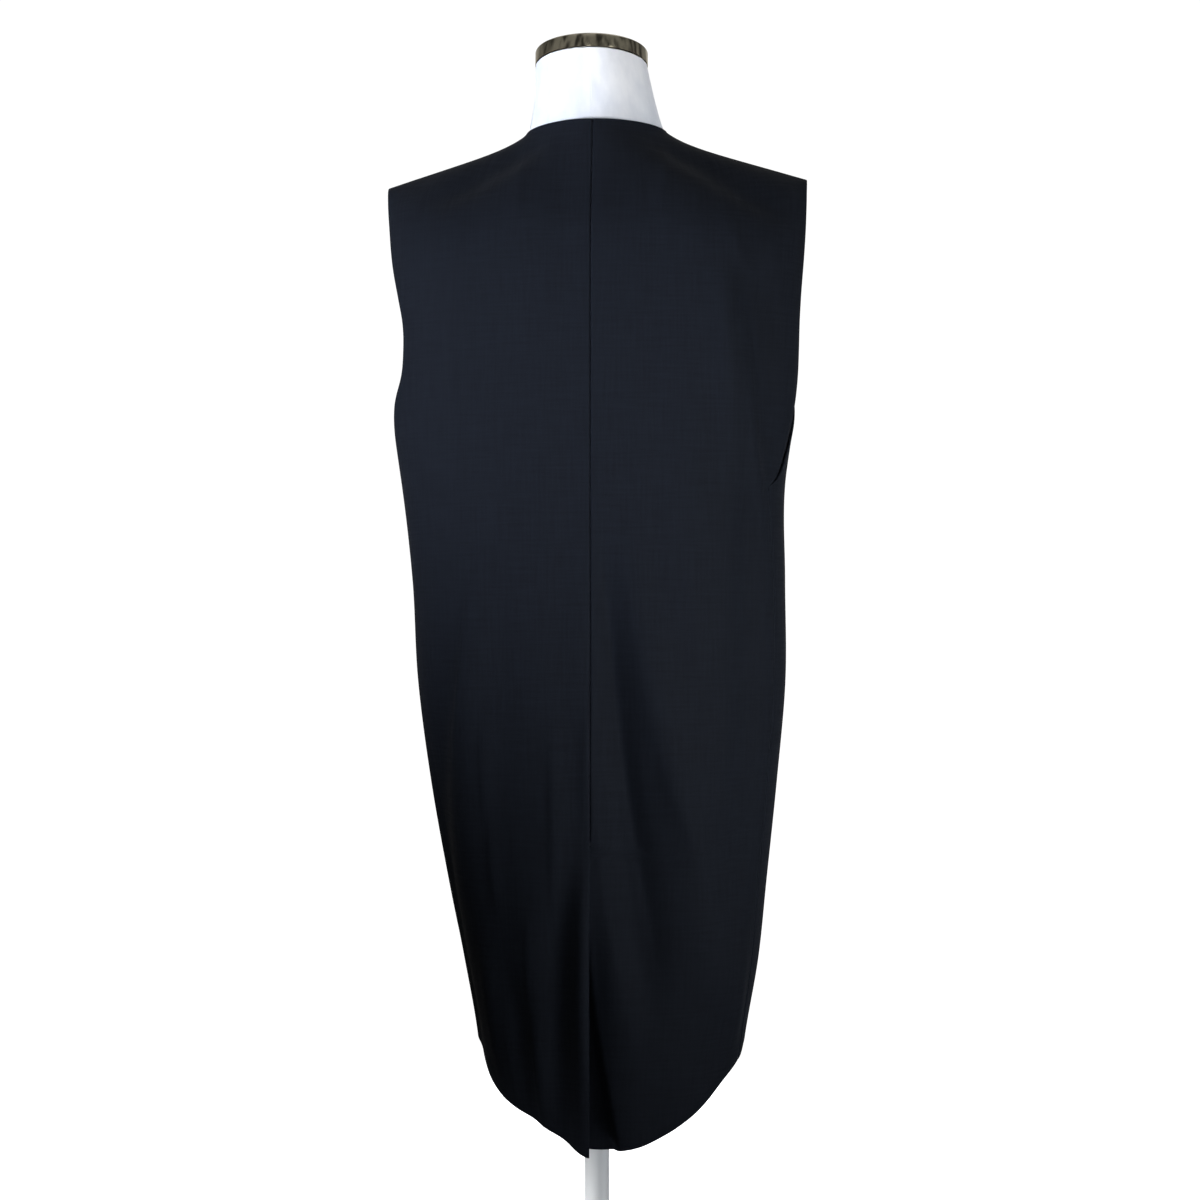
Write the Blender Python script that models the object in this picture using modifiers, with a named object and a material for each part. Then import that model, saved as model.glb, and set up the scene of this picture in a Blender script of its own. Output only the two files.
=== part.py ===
"""A long sleeveless waistcoat in black wool, worn on a limbless dress form with a pole stand.

Metres, +Z up. The wearer faces +Y and +X is the wearer's right, so the back of the cloth is on -Y.
The origin is on the floor under the middle of the stand.
"""

import math
from collections import namedtuple

import bmesh
import bpy
import numpy as np
from mathutils import Matrix, Vector

# Cloth
WALL = 0.0018  # lined wool twill, face to lining
SEAM_GAP = 0.0003  # between two pieces that are sewn together
LAYER_GAP = 0.0012  # between a flap and what lies under it

# Heights above the floor
BACK_NECK_Z = 1.453  # neckline at centre back
SHOULDER_TIP_Z = 1.4015
ARMHOLE_LOW_Z = 1.090  # armhole, where it meets the side seam
VENT_TOP_Z = 0.750  # the centre back seam opens into a vent below this
V_LOW_Z = 1.165  # bottom of the front neckline
V_CURVE = 0.85  # power of the front neckline, 1 for a straight edge

# Widths, from the middle of the body
SIDE_NECK_X = 0.0715
SHOULDER_TIP_X = 0.2125
BACK_NECK_DEPTH = 0.080  # neckline at centre back, behind the shoulder seams
VENT_UNDERLAP = 0.036  # right back, carried on under the left back
VENT_LAP_SHARE = 0.17  # of the right back's way round at the hem
VENT_DIP = 0.0060  # height over which the underlap dips in at the vent's top
LAP_HOLD = 0.012  # an under piece stays low this far past the edge of the piece over it
LAP_BLEND = 0.030  # and then comes up to its own line
LAP_LIFT = 0.040
LAP_ROUND = 0.0005
FRONT_OVERLAP = 0.018  # each front runs this far past centre front

# Shoulder: a straight slope that sweeps up beside the neck, and rounds over to back and front
SHOULDER_SLOPE = 0.288
SHOULDER_LEAN = 0.012  # the right shoulder sits a little higher than the left
NECK_SWEEP_RISE = 0.0087
NECK_SWEEP_RUN = 0.020
SIDE_NECK_Z = SHOULDER_TIP_Z + SHOULDER_SLOPE * (SHOULDER_TIP_X - SIDE_NECK_X) + NECK_SWEEP_RISE
NECK_ROUNDING = 1.3  # power of the curve below the back neckline, 2 for a quarter circle
SHOULDER_ROUND = 0.110  # height over which the shoulder turns into the back or the front

# The cloth's rings from the hem up, in metres. square is the ring's superellipse power.
Ring = namedtuple("Ring", "z left right back front square")
RINGS = (
    Ring(0.44, 0.115, 0.140, 0.134, 0.122, 2.15),
    Ring(0.54, 0.120, 0.152, 0.134, 0.126, 2.20),
    Ring(0.62, 0.134, 0.164, 0.133, 0.130, 2.25),
    Ring(0.70, 0.150, 0.172, 0.131, 0.133, 2.30),
    Ring(0.80, 0.168, 0.182, 0.128, 0.136, 2.35),
    Ring(0.90, 0.181, 0.190, 0.126, 0.138, 2.40),
    Ring(1.00, 0.1865, 0.190, 0.124, 0.140, 2.45),
    Ring(1.10, 0.198, 0.190, 0.124, 0.142, 2.50),
    Ring(1.18, 0.2115, 0.203, 0.124, 0.140, 2.50),
    Ring(1.26, 0.2095, 0.2095, 0.124, 0.132, 2.50),
    Ring(1.34, 0.2140, 0.2160, 0.119, 0.116, 2.50),
    Ring(1.40, 0.2185, 0.2185, 0.108, 0.098, 2.50),
    Ring(1.46, 0.2185, 0.2185, 0.098, 0.086, 2.50),
)

# The armhole's edges, in degrees round the body from centre back, by how far below the shoulder tip
Armhole = namedtuple("Armhole", "drop back_left back_right front_left front_right")
ARMHOLE = (
    Armhole(0.000, 75.0, 75.0, 105.0, 105.0),
    Armhole(0.035, 74.0, 75.0, 110.5, 110.5),
    Armhole(0.085, 71.0, 74.5, 114.0, 114.0),
    Armhole(0.120, 66.0, 74.5, 114.0, 115.0),
    Armhole(0.145, 62.5, 75.5, 112.5, 114.5),
    Armhole(0.170, 61.0, 77.5, 110.5, 112.5),
    Armhole(0.200, 62.0, 80.0, 106.5, 107.0),
    Armhole(0.227, 69.5, 80.5, 101.0, 97.5),
    Armhole(0.255, 75.5, 80.0, 94.5, 87.5),
    Armhole(0.279, 79.5, 77.5, 89.0, 80.5),
    Armhole(0.297, 83.0, 72.5, 86.5, 74.5),
    Armhole(0.307, 84.5, 67.0, 85.5, 68.0),
    Armhole(0.3115, 85.0, 63.0, 85.0, 63.0),
)

# The side seam's place round the body, in degrees from centre back; it sits behind the side
Seam = namedtuple("Seam", "z left right")
SIDE_SEAM = (
    Seam(0.44, 79.0, 72.0),
    Seam(0.60, 79.0, 70.5),
    Seam(0.76, 80.0, 69.0),
    Seam(0.96, 82.0, 68.0),
    Seam(1.04, 84.0, 66.5),
    Seam(1.09, 85.0, 63.0),
)

# The hem's height by its share of the way from centre back, or centre front, to the side seam;
# below 0 it runs on along the vent's underlap
Hem = namedtuple("Hem", "share back_left back_right front_left front_right")
HEM = (
    Hem(-0.30, 0.4465, 0.4800, 0.4620, 0.4620),
    Hem(-0.15, 0.4465, 0.4640, 0.4620, 0.4620),
    Hem(0.00, 0.4465, 0.4490, 0.4620, 0.4620),
    Hem(0.14, 0.4600, 0.4500, 0.4630, 0.4630),
    Hem(0.28, 0.4725, 0.4545, 0.4660, 0.4660),
    Hem(0.42, 0.4830, 0.4645, 0.4740, 0.4740),
    Hem(0.56, 0.4940, 0.4775, 0.4900, 0.4900),
    Hem(0.70, 0.5080, 0.4930, 0.5170, 0.5160),
    Hem(0.85, 0.5270, 0.5110, 0.5420, 0.5375),
    Hem(0.92, 0.5350, 0.5175, 0.5450, 0.5310),
    Hem(1.00, 0.5420, 0.5240, 0.5420, 0.5240),
)

# Folds: soft ridges (height above 0) and troughs (below 0) in the cloth. The line runs from its top
# to its bottom by x at three heights, and the two widths are half-widths at its top and bottom.
# on is the cloth that a fold moves: back, front, one side of the vent, or the back below a shoulder.
Fold = namedtuple("Fold", "name on x_top x_mid x_low z_top z_low width_top width_low height")
FOLDS = (
    Fold("vent edge stands out", "vent_left", -0.004, -0.004, -0.004, 0.75, 0.36, 0.012, 0.014, 0.008),
    Fold("hollow by the vent edge", "vent_left", -0.028, -0.031, -0.028, 0.77, 0.38, 0.012, 0.014, -0.005),
    Fold("vent falls in", "vent_right", 0.000, 0.000, 0.000, 0.74, 0.30, 0.016, 0.026, -0.011),
    Fold("flute beside centre back", "back", 0.010, 0.030, 0.062, 1.08, 0.54, 0.012, 0.020, -0.008),
    Fold("hip roll", "back", 0.030, 0.084, 0.150, 1.08, 0.50, 0.018, 0.030, 0.007),
    Fold("armhole ridge", "back", 0.122, 0.142, 0.158, 1.34, 1.05, 0.018, 0.015, 0.006),
    Fold("armhole hollow", "back", 0.150, 0.172, 0.182, 1.34, 1.07, 0.019, 0.015, -0.009),
    Fold("hollow behind the right side", "back", 0.150, 0.152, 0.136, 1.16, 0.64, 0.015, 0.016, -0.005),
    Fold("right side roll", "back", 0.174, 0.180, 0.142, 1.10, 0.50, 0.014, 0.014, 0.003),
    Fold("left drag", "back", -0.136, -0.152, -0.110, 1.02, 0.48, 0.012, 0.014, -0.006),
    Fold("left hem drag", "back", -0.082, -0.066, -0.050, 0.64, 0.42, 0.012, 0.014, -0.005),
    Fold("left roll", "back", -0.106, -0.120, -0.086, 1.04, 0.46, 0.018, 0.018, 0.005),
    Fold("left shoulder hollow", "shoulder", -0.042, -0.100, -0.152, 1.441, 1.376, 0.015, 0.015, -0.007),
    Fold("right shoulder hollow", "shoulder", 0.052, 0.120, 0.182, 1.445, 1.364, 0.015, 0.015, -0.008),
    Fold("left front flute", "front", -0.060, -0.078, -0.085, 1.16, 0.40, 0.018, 0.026, 0.006),
    Fold("left front hollow", "front", -0.105, -0.120, -0.115, 1.12, 0.42, 0.016, 0.020, -0.007),
    Fold("right front flute", "front", 0.070, 0.088, 0.102, 1.14, 0.40, 0.020, 0.026, 0.006),
    Fold("right front hollow", "front", 0.112, 0.132, 0.130, 1.18, 0.44, 0.016, 0.020, -0.007),
    Fold("right front drape", "front", 0.044, 0.048, 0.054, 0.90, 0.38, 0.012, 0.015, -0.004),
)
SEAM_FADE_UP = 0.022  # folds die out this far below the shoulder seam, as a share of the panel
SEAM_FADE_ACROSS = 0.12  # and this far before the side seam

# Panel grids: cells across and rows up
NECK_CELLS = 8
VENT_CELLS = 4  # across the underlap; above the vent they close up to a strip, then fan out again
VENT_STRIP = 0.012
VENT_FAN = 0.18
SHOULDER_CELLS = 10
FRONT_CELLS = 14
BODY_ROWS = 17
VENT_STEP = 0.009  # rows either side of the step where the underlap starts, as a share of the panel
ARMHOLE_ROWS = (
    0.006, 0.014, 0.026, 0.042, 0.065, 0.092, 0.120, 0.150, 0.180,
    0.210, 0.238, 0.262, 0.282, 0.297, 0.306, 0.3105, 0.3115,
)
FINE = 160  # samples along a row when its points are spread evenly

# Buttons
BUTTON_RADIUS = 0.010
BUTTON_THICK = 0.0032
BUTTON_HOLE_RADIUS = 0.0009
BUTTON_HOLE_OFFSET = 0.0020
BUTTON_DISH = 0.0008
BUTTON_DISH_SHARE = 0.55  # of the radius, flat at the bottom of the dish
BUTTON_RIM_SHARE = 0.68  # and where the rim begins
BUTTON_ROUND = 0.001
BUTTON_GAP = 0.0005  # from the cloth's nominal face, so that its curve stays clear of the button
BUTTON_HEIGHTS = (1.140, 1.020, 0.900, 0.780)

# Dress form, from its base up
FORM_GAP = 0.0006  # between the form's shoulders and the cloth that rests on them
FORM_SHOULDER_X = 0.186
FORM_CORNER_X = 0.165  # the shoulder rounds down from here
FORM_CORNER_ROUND = 60.0  # 1/m
FORM_DEPTH_SHARE = 0.72  # of the cloth's depth, under the shoulders' hollows
FORM_HOLLOW_X = 0.045  # the hollows begin this far from the middle, and are full twice as far out
FORM_BOTTOM_Z = 0.700
FORM_SIDES = 36
FORM_SQUARE = 2.3  # superellipse power of the torso's rings
Torso = namedtuple("Torso", "z half back front")
TORSO = (
    Torso(0.700, 0.140, 0.092, 0.090),
    Torso(0.706, 0.147, 0.098, 0.096),
    Torso(0.730, 0.151, 0.102, 0.099),
    Torso(0.780, 0.155, 0.106, 0.102),
    Torso(0.840, 0.160, 0.109, 0.105),
    Torso(0.900, 0.156, 0.106, 0.103),
    Torso(0.960, 0.145, 0.098, 0.099),
    Torso(1.030, 0.131, 0.088, 0.096),
    Torso(1.090, 0.138, 0.092, 0.104),
    Torso(1.150, 0.148, 0.098, 0.115),
    Torso(1.210, 0.157, 0.104, 0.121),
    Torso(1.260, 0.165, 0.109, 0.117),
    Torso(1.300, 0.173, 0.112, 0.108),
    Torso(1.330, 0.180, 0.111, 0.099),
    Torso(1.358, 0.184, 0.106, 0.091),
    Torso(1.384, 0.186, 0.099, 0.083),
    Torso(1.398, 0.183, 0.0955, 0.079),
    Torso(1.408, 0.178, 0.0925, 0.076),
    Torso(1.416, 0.160, 0.0900, 0.074),
    Torso(1.424, 0.135, 0.0872, 0.072),
    Torso(1.432, 0.110, 0.0842, 0.070),
    Torso(1.4395, 0.092, 0.0810, 0.068),
    Torso(1.4455, 0.082, 0.0788, 0.066),
    Torso(1.4495, 0.075, 0.0770, 0.065),
)
Neck = namedtuple("Neck", "z half back front forward sideways tilt")
NECK = (
    Neck(1.4535, 0.0685, 0.0755, 0.0640, 0.000, 0.000, 0.0),
    Neck(1.4640, 0.0658, 0.0700, 0.0620, 0.001, -0.001, 2.0),
    Neck(1.4812, 0.0621, 0.0645, 0.0600, 0.003, -0.002, 5.0),
    Neck(1.5025, 0.0590, 0.0600, 0.0580, 0.006, -0.004, 7.0),
    Neck(1.5222, 0.0570, 0.0570, 0.0570, 0.009, -0.006, 8.0),
)
CAP_RADIUS = 0.0573
CAP_BAND = 0.015
CAP_DOME = 0.0045
CAP_EDGE = 0.0015

# Stand
POLE_RADIUS = 0.0125
POLE_INTO_COLLAR = 0.040
COLLAR_RADIUS = 0.024
COLLAR_FLANGE_RADIUS = 0.050
COLLAR_FLANGE = 0.005
COLLAR_DEPTH = 0.055
BASE_RADIUS = 0.170
BASE_RIM = 0.008
BASE_CROWN = 0.016
BASE_SOCKET = 0.006  # how far the pole stands in the base
BASE_HUB_RADIUS = 0.0275  # level round the pole
BASE_EDGE = 0.012  # level inside the rim
BASE_ROUND = 0.0025
TURNED_STEPS = 40
BUTTON_STEPS = 16


def flow(stations, values, at):
    """A smooth curve through a table: cubic between rows, with slopes taken from the neighbours."""
    stations, values = np.asarray(stations, float), np.asarray(values, float)
    at = np.clip(at, stations[0], stations[-1])
    slopes = np.gradient(values, stations)
    i = np.clip(np.searchsorted(stations, at, side="right") - 1, 0, len(stations) - 2)
    step = stations[i + 1] - stations[i]
    t = (at - stations[i]) / step
    return (
        values[i] * (2 * t**3 - 3 * t**2 + 1)
        + values[i + 1] * (3 * t**2 - 2 * t**3)
        + slopes[i] * step * (t**3 - 2 * t**2 + t)
        + slopes[i + 1] * step * (t**3 - t**2)
    )


def column(table, name, at, key):
    """One named column of a table, read at any station of its key column."""
    return flow([getattr(row, key) for row in table], [getattr(row, name) for row in table], at)


def smooth_step(share):
    """0 below 0, 1 above 1, and level at both ends."""
    t = np.clip(share, 0.0, 1.0)
    return t * t * (3 - 2 * t)


def shoulder_height(x):
    """Height of the shoulder's ridge at a place to the side, sweeping up to the neck."""
    out = np.abs(x)
    sweep = NECK_SWEEP_RISE * np.exp(np.clip((SIDE_NECK_X - out) / NECK_SWEEP_RUN, -12, 4))
    return SHOULDER_TIP_Z + SHOULDER_SLOPE * (SHOULDER_TIP_X - out) + sweep + SHOULDER_LEAN * x


def roll_over(share, power):
    """How far the cloth has come away from the top line, 0 to 1, as it drops by that share."""
    q = np.clip(share, 0.0, 1.0)
    return (1 - (1 - q) ** power) ** (1 / power)


def ring_x(turn, z):
    """Distance to the side of a ring's point, turn radians round from centre back."""
    half = np.where(
        np.sin(turn) >= 0, column(RINGS, "right", z, "z"), column(RINGS, "left", z, "z")
    )
    power = 2 / column(RINGS, "square", z, "z")
    return half * np.sign(np.sin(turn)) * np.abs(np.sin(turn)) ** power


def top_line(x, behind):
    """Height of the cloth's top edge: the back neckline between the shoulder seams, then the seams."""
    share = np.abs(x) / SIDE_NECK_X
    corner = SIDE_NECK_Z + SHOULDER_LEAN * SIDE_NECK_X * np.sign(x)
    neckline = BACK_NECK_Z + (corner - BACK_NECK_Z) * share**2
    return np.where(behind & (share < 1), neckline, shoulder_height(x))


def plain_cloth(turn, z):
    """The cloth's outer face with no folds: rings that close in to the shoulders and the neckline."""
    behind = np.cos(turn) > 0
    depth = np.where(behind, column(RINGS, "back", z, "z"), column(RINGS, "front", z, "z"))
    power = 2 / column(RINGS, "square", z, "z")
    x = ring_x(turn, z)
    ring_y = depth * np.abs(np.cos(turn)) ** power

    share = np.clip(np.abs(x) / SIDE_NECK_X, 0, 1)
    on_neck = behind & (share < 1)
    top_y = np.where(on_neck, BACK_NECK_DEPTH * np.sqrt(1 - share**2), 0.0)
    rounding = np.where(on_neck, NECK_ROUNDING + (2 - NECK_ROUNDING) * share**2, 2.0)
    drop = top_line(x, behind) - z
    y = top_y + (ring_y - top_y) * roll_over(drop / SHOULDER_ROUND, rounding)
    return np.stack([x, np.where(behind, -y, y), z], axis=-1)


def turn_at(x, z, front=False):
    """The turn, in radians, at which a ring reaches x."""
    half = np.where(x >= 0, column(RINGS, "right", z, "z"), column(RINGS, "left", z, "z"))
    share = np.clip(np.abs(x) / half, 0, 1) ** (column(RINGS, "square", z, "z") / 2)
    turn = np.arcsin(share)
    return np.where(x >= 0, 1, -1) * (math.pi - turn if front else turn)


def neck_turn(front=False):
    """The turn at which the neckline meets the shoulder seam."""
    return float(turn_at(np.float64(SIDE_NECK_X), np.float64(SIDE_NECK_Z), front=front))


def vent_share(side):
    """How far up a back panel the vent reaches."""
    hem = float(column(HEM, "back_" + side, np.float64(0.0), "share"))
    return (VENT_TOP_Z - hem) / (BACK_NECK_Z - hem)


class Panel:
    """One cut piece of the cloth: a patch across from its inner to its outer edge, and up from the hem.

    across is 0 at centre back or centre front and 1 at the side seam, armhole and shoulder tip.
    up is 0 at the hem and 1 at the shoulder seam and the back neckline.
    """

    def __init__(self, name, side, front, cells, under=False):
        self.name = name
        self.side = side
        self.sign = 1 if side == "right" else -1
        self.front = front
        self.cells = cells
        self.under = under

    def hem(self, across, up):
        """The hem's height below a point; the underlap's own rise fades out up the vent."""
        if self.front:
            return column(HEM, "front_" + self.side, across, "share")
        if not self.under:
            return column(HEM, "back_left", across, "share")
        share = (across - VENT_LAP_SHARE) / (1 - VENT_LAP_SHARE)
        panel = column(HEM, "back_right", np.maximum(share, 0.0), "share")
        lap = column(HEM, "back_right", share, "share")
        return panel + (lap - panel) * smooth_step(1 - up / (0.8 * vent_share(self.side)))

    def top_turn(self, across):
        """Turn along the top edge, before the sign of the side."""
        tip = math.radians(ARMHOLE[0].back_left)
        if not self.front:
            return across * tip
        inner = neck_turn(front=True)
        return inner + (math.pi - tip - inner) * across

    def top(self, across):
        """Height of the top edge, found in a few steps because the rings widen with height."""
        z = np.full_like(across, SIDE_NECK_Z)
        for _ in range(5):
            z = top_line(ring_x(self.sign * self.top_turn(across), z), not self.front)
        return z

    def outer_turn(self, z):
        """Side seam, then the armhole's edge up to the shoulder tip."""
        name = ("front_" if self.front else "back_") + self.side
        edge = column(ARMHOLE, name, SHOULDER_TIP_Z - z, "drop")
        seam = column(SIDE_SEAM, self.side, z, "z")
        return np.radians(np.where(z < ARMHOLE_LOW_Z + 1e-9, seam, edge))

    def inner_turn(self, up, z):
        """Centre back with the vent's underlap, or the front edge and the neckline above it."""
        if self.front:
            climb = np.clip((z - V_LOW_Z) / (SIDE_NECK_Z - V_LOW_Z), 0, 1) ** V_CURVE
            x = -FRONT_OVERLAP + (SIDE_NECK_X + FRONT_OVERLAP) * climb
            turn = turn_at(x, z, front=True)
            return np.where(turn < 0, 2 * math.pi + turn, turn)
        return np.where(self.in_lap(up), turn_at(np.float64(-VENT_UNDERLAP), z), 0.0)

    def in_lap(self, up):
        """Whether a row crosses the vent's underlap."""
        return (up < vent_share(self.side) - 1.5 * VENT_STEP) & (self.under and not self.front)

    def rows(self):
        """The rows' shares of the way up, closest where the edge or the shoulder curves most."""
        side_hem = getattr(HEM[-1], "front_" + self.side)
        whole = SHOULDER_TIP_Z - side_hem
        body = np.linspace(0, ARMHOLE_LOW_Z - side_hem, BODY_ROWS + 1) / whole
        armhole = (ARMHOLE_LOW_Z - side_hem + np.array(ARMHOLE_ROWS)) / whole
        shares = np.concatenate([body, armhole])
        vent = vent_share("right" if self.front else self.side)
        shares = shares[np.abs(shares - vent + VENT_STEP) > 1.9 * VENT_STEP]
        steps = vent - VENT_STEP * np.array([0.0, 1.0, 2.0])
        return np.sort(np.concatenate([shares, steps]))

    def place(self, across, up):
        """Turn and height at any point of the patch."""
        low, high = self.hem(across, up), self.top(across)
        z = low + (high - low) * up
        edge_low = self.hem(np.ones_like(up), up)
        edge_z = edge_low + (SHOULDER_TIP_Z - edge_low) * up
        start_low, start_high = self.hem(np.zeros_like(up), up), self.top(np.zeros_like(up))
        start_z = start_low + (start_high - start_low) * up
        inner, outer = self.inner_turn(up, start_z), self.outer_turn(edge_z)
        turn = inner + (outer - inner) * across
        return self.sign * turn, z

    def base(self, across, up):
        """Points of the plain cloth, before its folds."""
        turn, z = self.place(across, up)
        return plain_cloth(turn, z)

    def evenly(self, up):
        """Shares across one row, so that its points are evenly spaced along the cloth."""
        fine = np.linspace(0, 1, FINE + 1)
        line = self.base(fine, np.full_like(fine, up))
        run = np.concatenate([[0], np.cumsum(np.linalg.norm(np.diff(line, axis=0), axis=1))])
        first, stop = self.cells, run[-1]
        if up == 1 and not self.front:
            first, stop = NECK_CELLS, float(np.interp(SIDE_NECK_X, line[:, 0] * self.sign, run))
        elif self.in_lap(up):
            first, stop = VENT_CELLS, float(np.interp(0.0, line[:, 0] * self.sign, run))
        elif self.under and not self.front:
            even = run[-1] * VENT_CELLS / self.cells
            first, stop = VENT_CELLS, min(even, VENT_STRIP + VENT_FAN * (up - vent_share(self.side)))
        marks = np.concatenate([
            np.linspace(0, stop, first + 1),
            np.linspace(stop, run[-1], self.cells - first + 1)[1:],
        ])
        return np.interp(marks, run, fine)

    def grid(self):
        """across and up for every point of the panel, as two arrays of rows."""
        rows = self.rows()
        across = np.stack([self.evenly(up) for up in rows])
        return across, np.repeat(rows[:, None], across.shape[1], axis=1)

    def normal(self, across, up):
        """Outward direction of the plain cloth, from the slopes of the patch."""
        step = 2e-5
        at_seam = (up > 1 - 1e-9) & (np.abs(self.base(across, up)[..., 1]) < 1e-9)
        left = np.where(at_seam & (across < 1), across, np.clip(across - step, 0, 1))
        right = np.clip(across + step, 0, 1)
        low, high = np.clip(up - step, 0, 1), np.clip(up + step, 0, 1)
        run = self.base(right, up) - self.base(left, up)
        rise = self.base(across, high) - self.base(across, low)
        out = np.cross(run, rise) * self.sign * (-1 if self.front else 1)
        out[..., 1] = np.where(at_seam, 0.0, out[..., 1])
        return out / np.linalg.norm(out, axis=-1, keepdims=True)

    def folded(self, base, seam_fade=1.0):
        """How far the folds move each point out, kept under the piece that lies over it."""
        moved = seam_fade * fold_sum(self.side, self.front, base)
        if not self.under:
            return moved
        x, z = base[..., 0] * self.sign, base[..., 2]
        over_side = "right" if self.side == "left" else "left"
        below = fold_sum(over_side, self.front, base) - WALL - LAYER_GAP
        lap = FRONT_OVERLAP if self.front else 0.0
        free = smooth_step((x - lap - LAP_HOLD) / LAP_BLEND)
        if not self.front:
            free = free + smooth_step(1 - (VENT_TOP_Z - z) / VENT_DIP)
        return lower_of(moved, below + LAP_LIFT * free)

    def seam_fade(self, across, up, base):
        """1 over the panel, and 0 at the seams to its neighbours, which keep one shared line."""
        beside = smooth_step((1 - across) / SEAM_FADE_ACROSS)
        armhole = smooth_step((base[..., 2] - ARMHOLE_LOW_Z) / (2 * SHOULDER_ROUND) + 0.2)
        return np.maximum(beside, armhole) * smooth_step((1 - up) / SEAM_FADE_UP)

    def walls(self):
        """Outer and inner points of the panel."""
        across, up = self.grid()
        base = self.base(across, up)
        out = self.normal(across, up)
        outer = base + out * self.folded(base, self.seam_fade(across, up, base))[..., None]
        inner = outer - out * WALL
        return seam_trimmed(outer, inner)


def fold_sum(side, front, base):
    """The heights of all the folds in one cloth at each point."""
    moves = {"front"} if front else {"back", "shoulder", "vent_" + side}
    moved = np.zeros(base.shape[:-1])
    for fold in FOLDS:
        if fold.on in moves:
            moved = moved + fold_height(fold, base[..., 0], base[..., 2])
    return moved


def lower_of(one, other):
    """The lower of two heights, with the corner between them rounded."""
    gap = np.clip(one - other, -20 * LAP_ROUND, 20 * LAP_ROUND)
    return one - LAP_ROUND * np.log1p(np.exp(gap / LAP_ROUND))


def fold_height(fold, x, z):
    """A fold's height at each point: a bell across its line, fading at its ends."""
    if fold.on == "shoulder":
        return shoulder_fold_height(fold, x, z)
    share = (fold.z_top - z) / (fold.z_top - fold.z_low)
    line = flow([0.0, 0.5, 1.0], [fold.x_top, fold.x_mid, fold.x_low], share)
    width = fold.width_top + (fold.width_low - fold.width_top) * np.clip(share, 0, 1)
    ends = smooth_step(share / 0.35) * smooth_step((1.0 - share) / 0.20)
    return fold.height * ends * np.exp(-(((x - line) / width) ** 2))


def shoulder_fold_height(fold, x, z):
    """A fold that runs along below the shoulder: the bell is measured square to its line."""
    along_x, along_z = fold.x_low - fold.x_top, fold.z_low - fold.z_top
    length = math.hypot(along_x, along_z)
    along_x, along_z = along_x / length, along_z / length
    dx, dz = x - fold.x_top, z - fold.z_top
    share = (dx * along_x + dz * along_z) / length
    aside = dx * along_z - dz * along_x
    ends = smooth_step(share / 0.4 + 0.2) * smooth_step((1.2 - share) / 0.4)
    return fold.height * ends * np.exp(-((aside / fold.width_top) ** 2))


def seam_trimmed(outer, inner):
    """Each edge drawn back by half a seam's gap, so that sewn pieces stand just apart."""
    for edge, beside in (
        (np.s_[0, :], np.s_[1, :]),
        (np.s_[-1, :], np.s_[-2, :]),
        (np.s_[:, 0], np.s_[:, 1]),
        (np.s_[:, -1], np.s_[:, -2]),
    ):
        for face in (outer, inner):
            inward = face[beside] - face[edge]
            inward = inward / np.linalg.norm(inward, axis=-1, keepdims=True)
            face[edge] = face[edge] + inward * SEAM_GAP / 2
    return outer, inner


def material(name, colour, roughness, metallic=0.0):
    """A plain finish of one colour."""
    made = bpy.data.materials.new(name)
    made.use_nodes = True
    shader = made.node_tree.nodes["Principled BSDF"]
    shader.inputs["Base Color"].default_value = (*colour, 1.0)
    shader.inputs["Roughness"].default_value = roughness
    shader.inputs["Metallic"].default_value = metallic
    return made


def add_mesh(name, points, faces, finish, collection, smooth_below=math.radians(40)):
    """A new object from points and faces, facing outwards and shaded smooth."""
    mesh = bpy.data.meshes.new(name)
    mesh.from_pydata([tuple(p) for p in points], [], faces)
    shape = bmesh.new()
    shape.from_mesh(mesh)
    bmesh.ops.recalc_face_normals(shape, faces=shape.faces)
    shape.to_mesh(mesh)
    shape.free()
    mesh.shade_smooth()
    mesh.set_sharp_from_angle(angle=smooth_below)
    mesh.materials.append(finish)
    made = bpy.data.objects.new(name, mesh)
    collection.objects.link(made)
    return made


def wall_faces(rows, columns):
    """Faces of a closed wall: an outer sheet, an inner sheet and the four edges between them."""
    outer = np.arange(rows * columns).reshape(rows, columns)
    inner = outer + rows * columns
    faces = []
    for i in range(rows - 1):
        for j in range(columns - 1):
            quad = ((i, j), (i, j + 1), (i + 1, j + 1), (i + 1, j))
            faces.append([int(outer[k]) for k in quad])
            faces.append([int(inner[k]) for k in reversed(quad)])
    rim = (
        [(0, j) for j in range(columns)]
        + [(i, columns - 1) for i in range(1, rows)]
        + [(rows - 1, j) for j in range(columns - 2, -1, -1)]
        + [(i, 0) for i in range(rows - 2, 0, -1)]
    )
    for a, b in zip(rim, rim[1:] + rim[:1]):
        faces.append([int(outer[b]), int(outer[a]), int(inner[a]), int(inner[b])])
    return faces


def add_panel(panel, finish, collection):
    """The object of one cut piece of the cloth."""
    outer, inner = panel.walls()
    rows, columns = outer.shape[:2]
    points = np.concatenate([outer.reshape(-1, 3), inner.reshape(-1, 3)])
    return add_mesh(panel.name, points, wall_faces(rows, columns), finish, collection)


def turned(name, profile, finish, collection, steps=TURNED_STEPS):
    """A solid of revolution about its own Z from (radius, height) points, listed from the top down."""
    mesh = bpy.data.meshes.new(name)
    mesh.from_pydata([(r, 0.0, z) for r, z in profile], [(i, i + 1) for i in range(len(profile) - 1)], [])
    mesh.materials.append(finish)
    made = bpy.data.objects.new(name, mesh)
    collection.objects.link(made)
    screw = made.modifiers.new("turn", "SCREW")
    screw.steps = screw.render_steps = steps
    screw.use_merge_vertices = True
    screw.merge_threshold = 0.00005
    screw.use_smooth_shade = True
    return made


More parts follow.
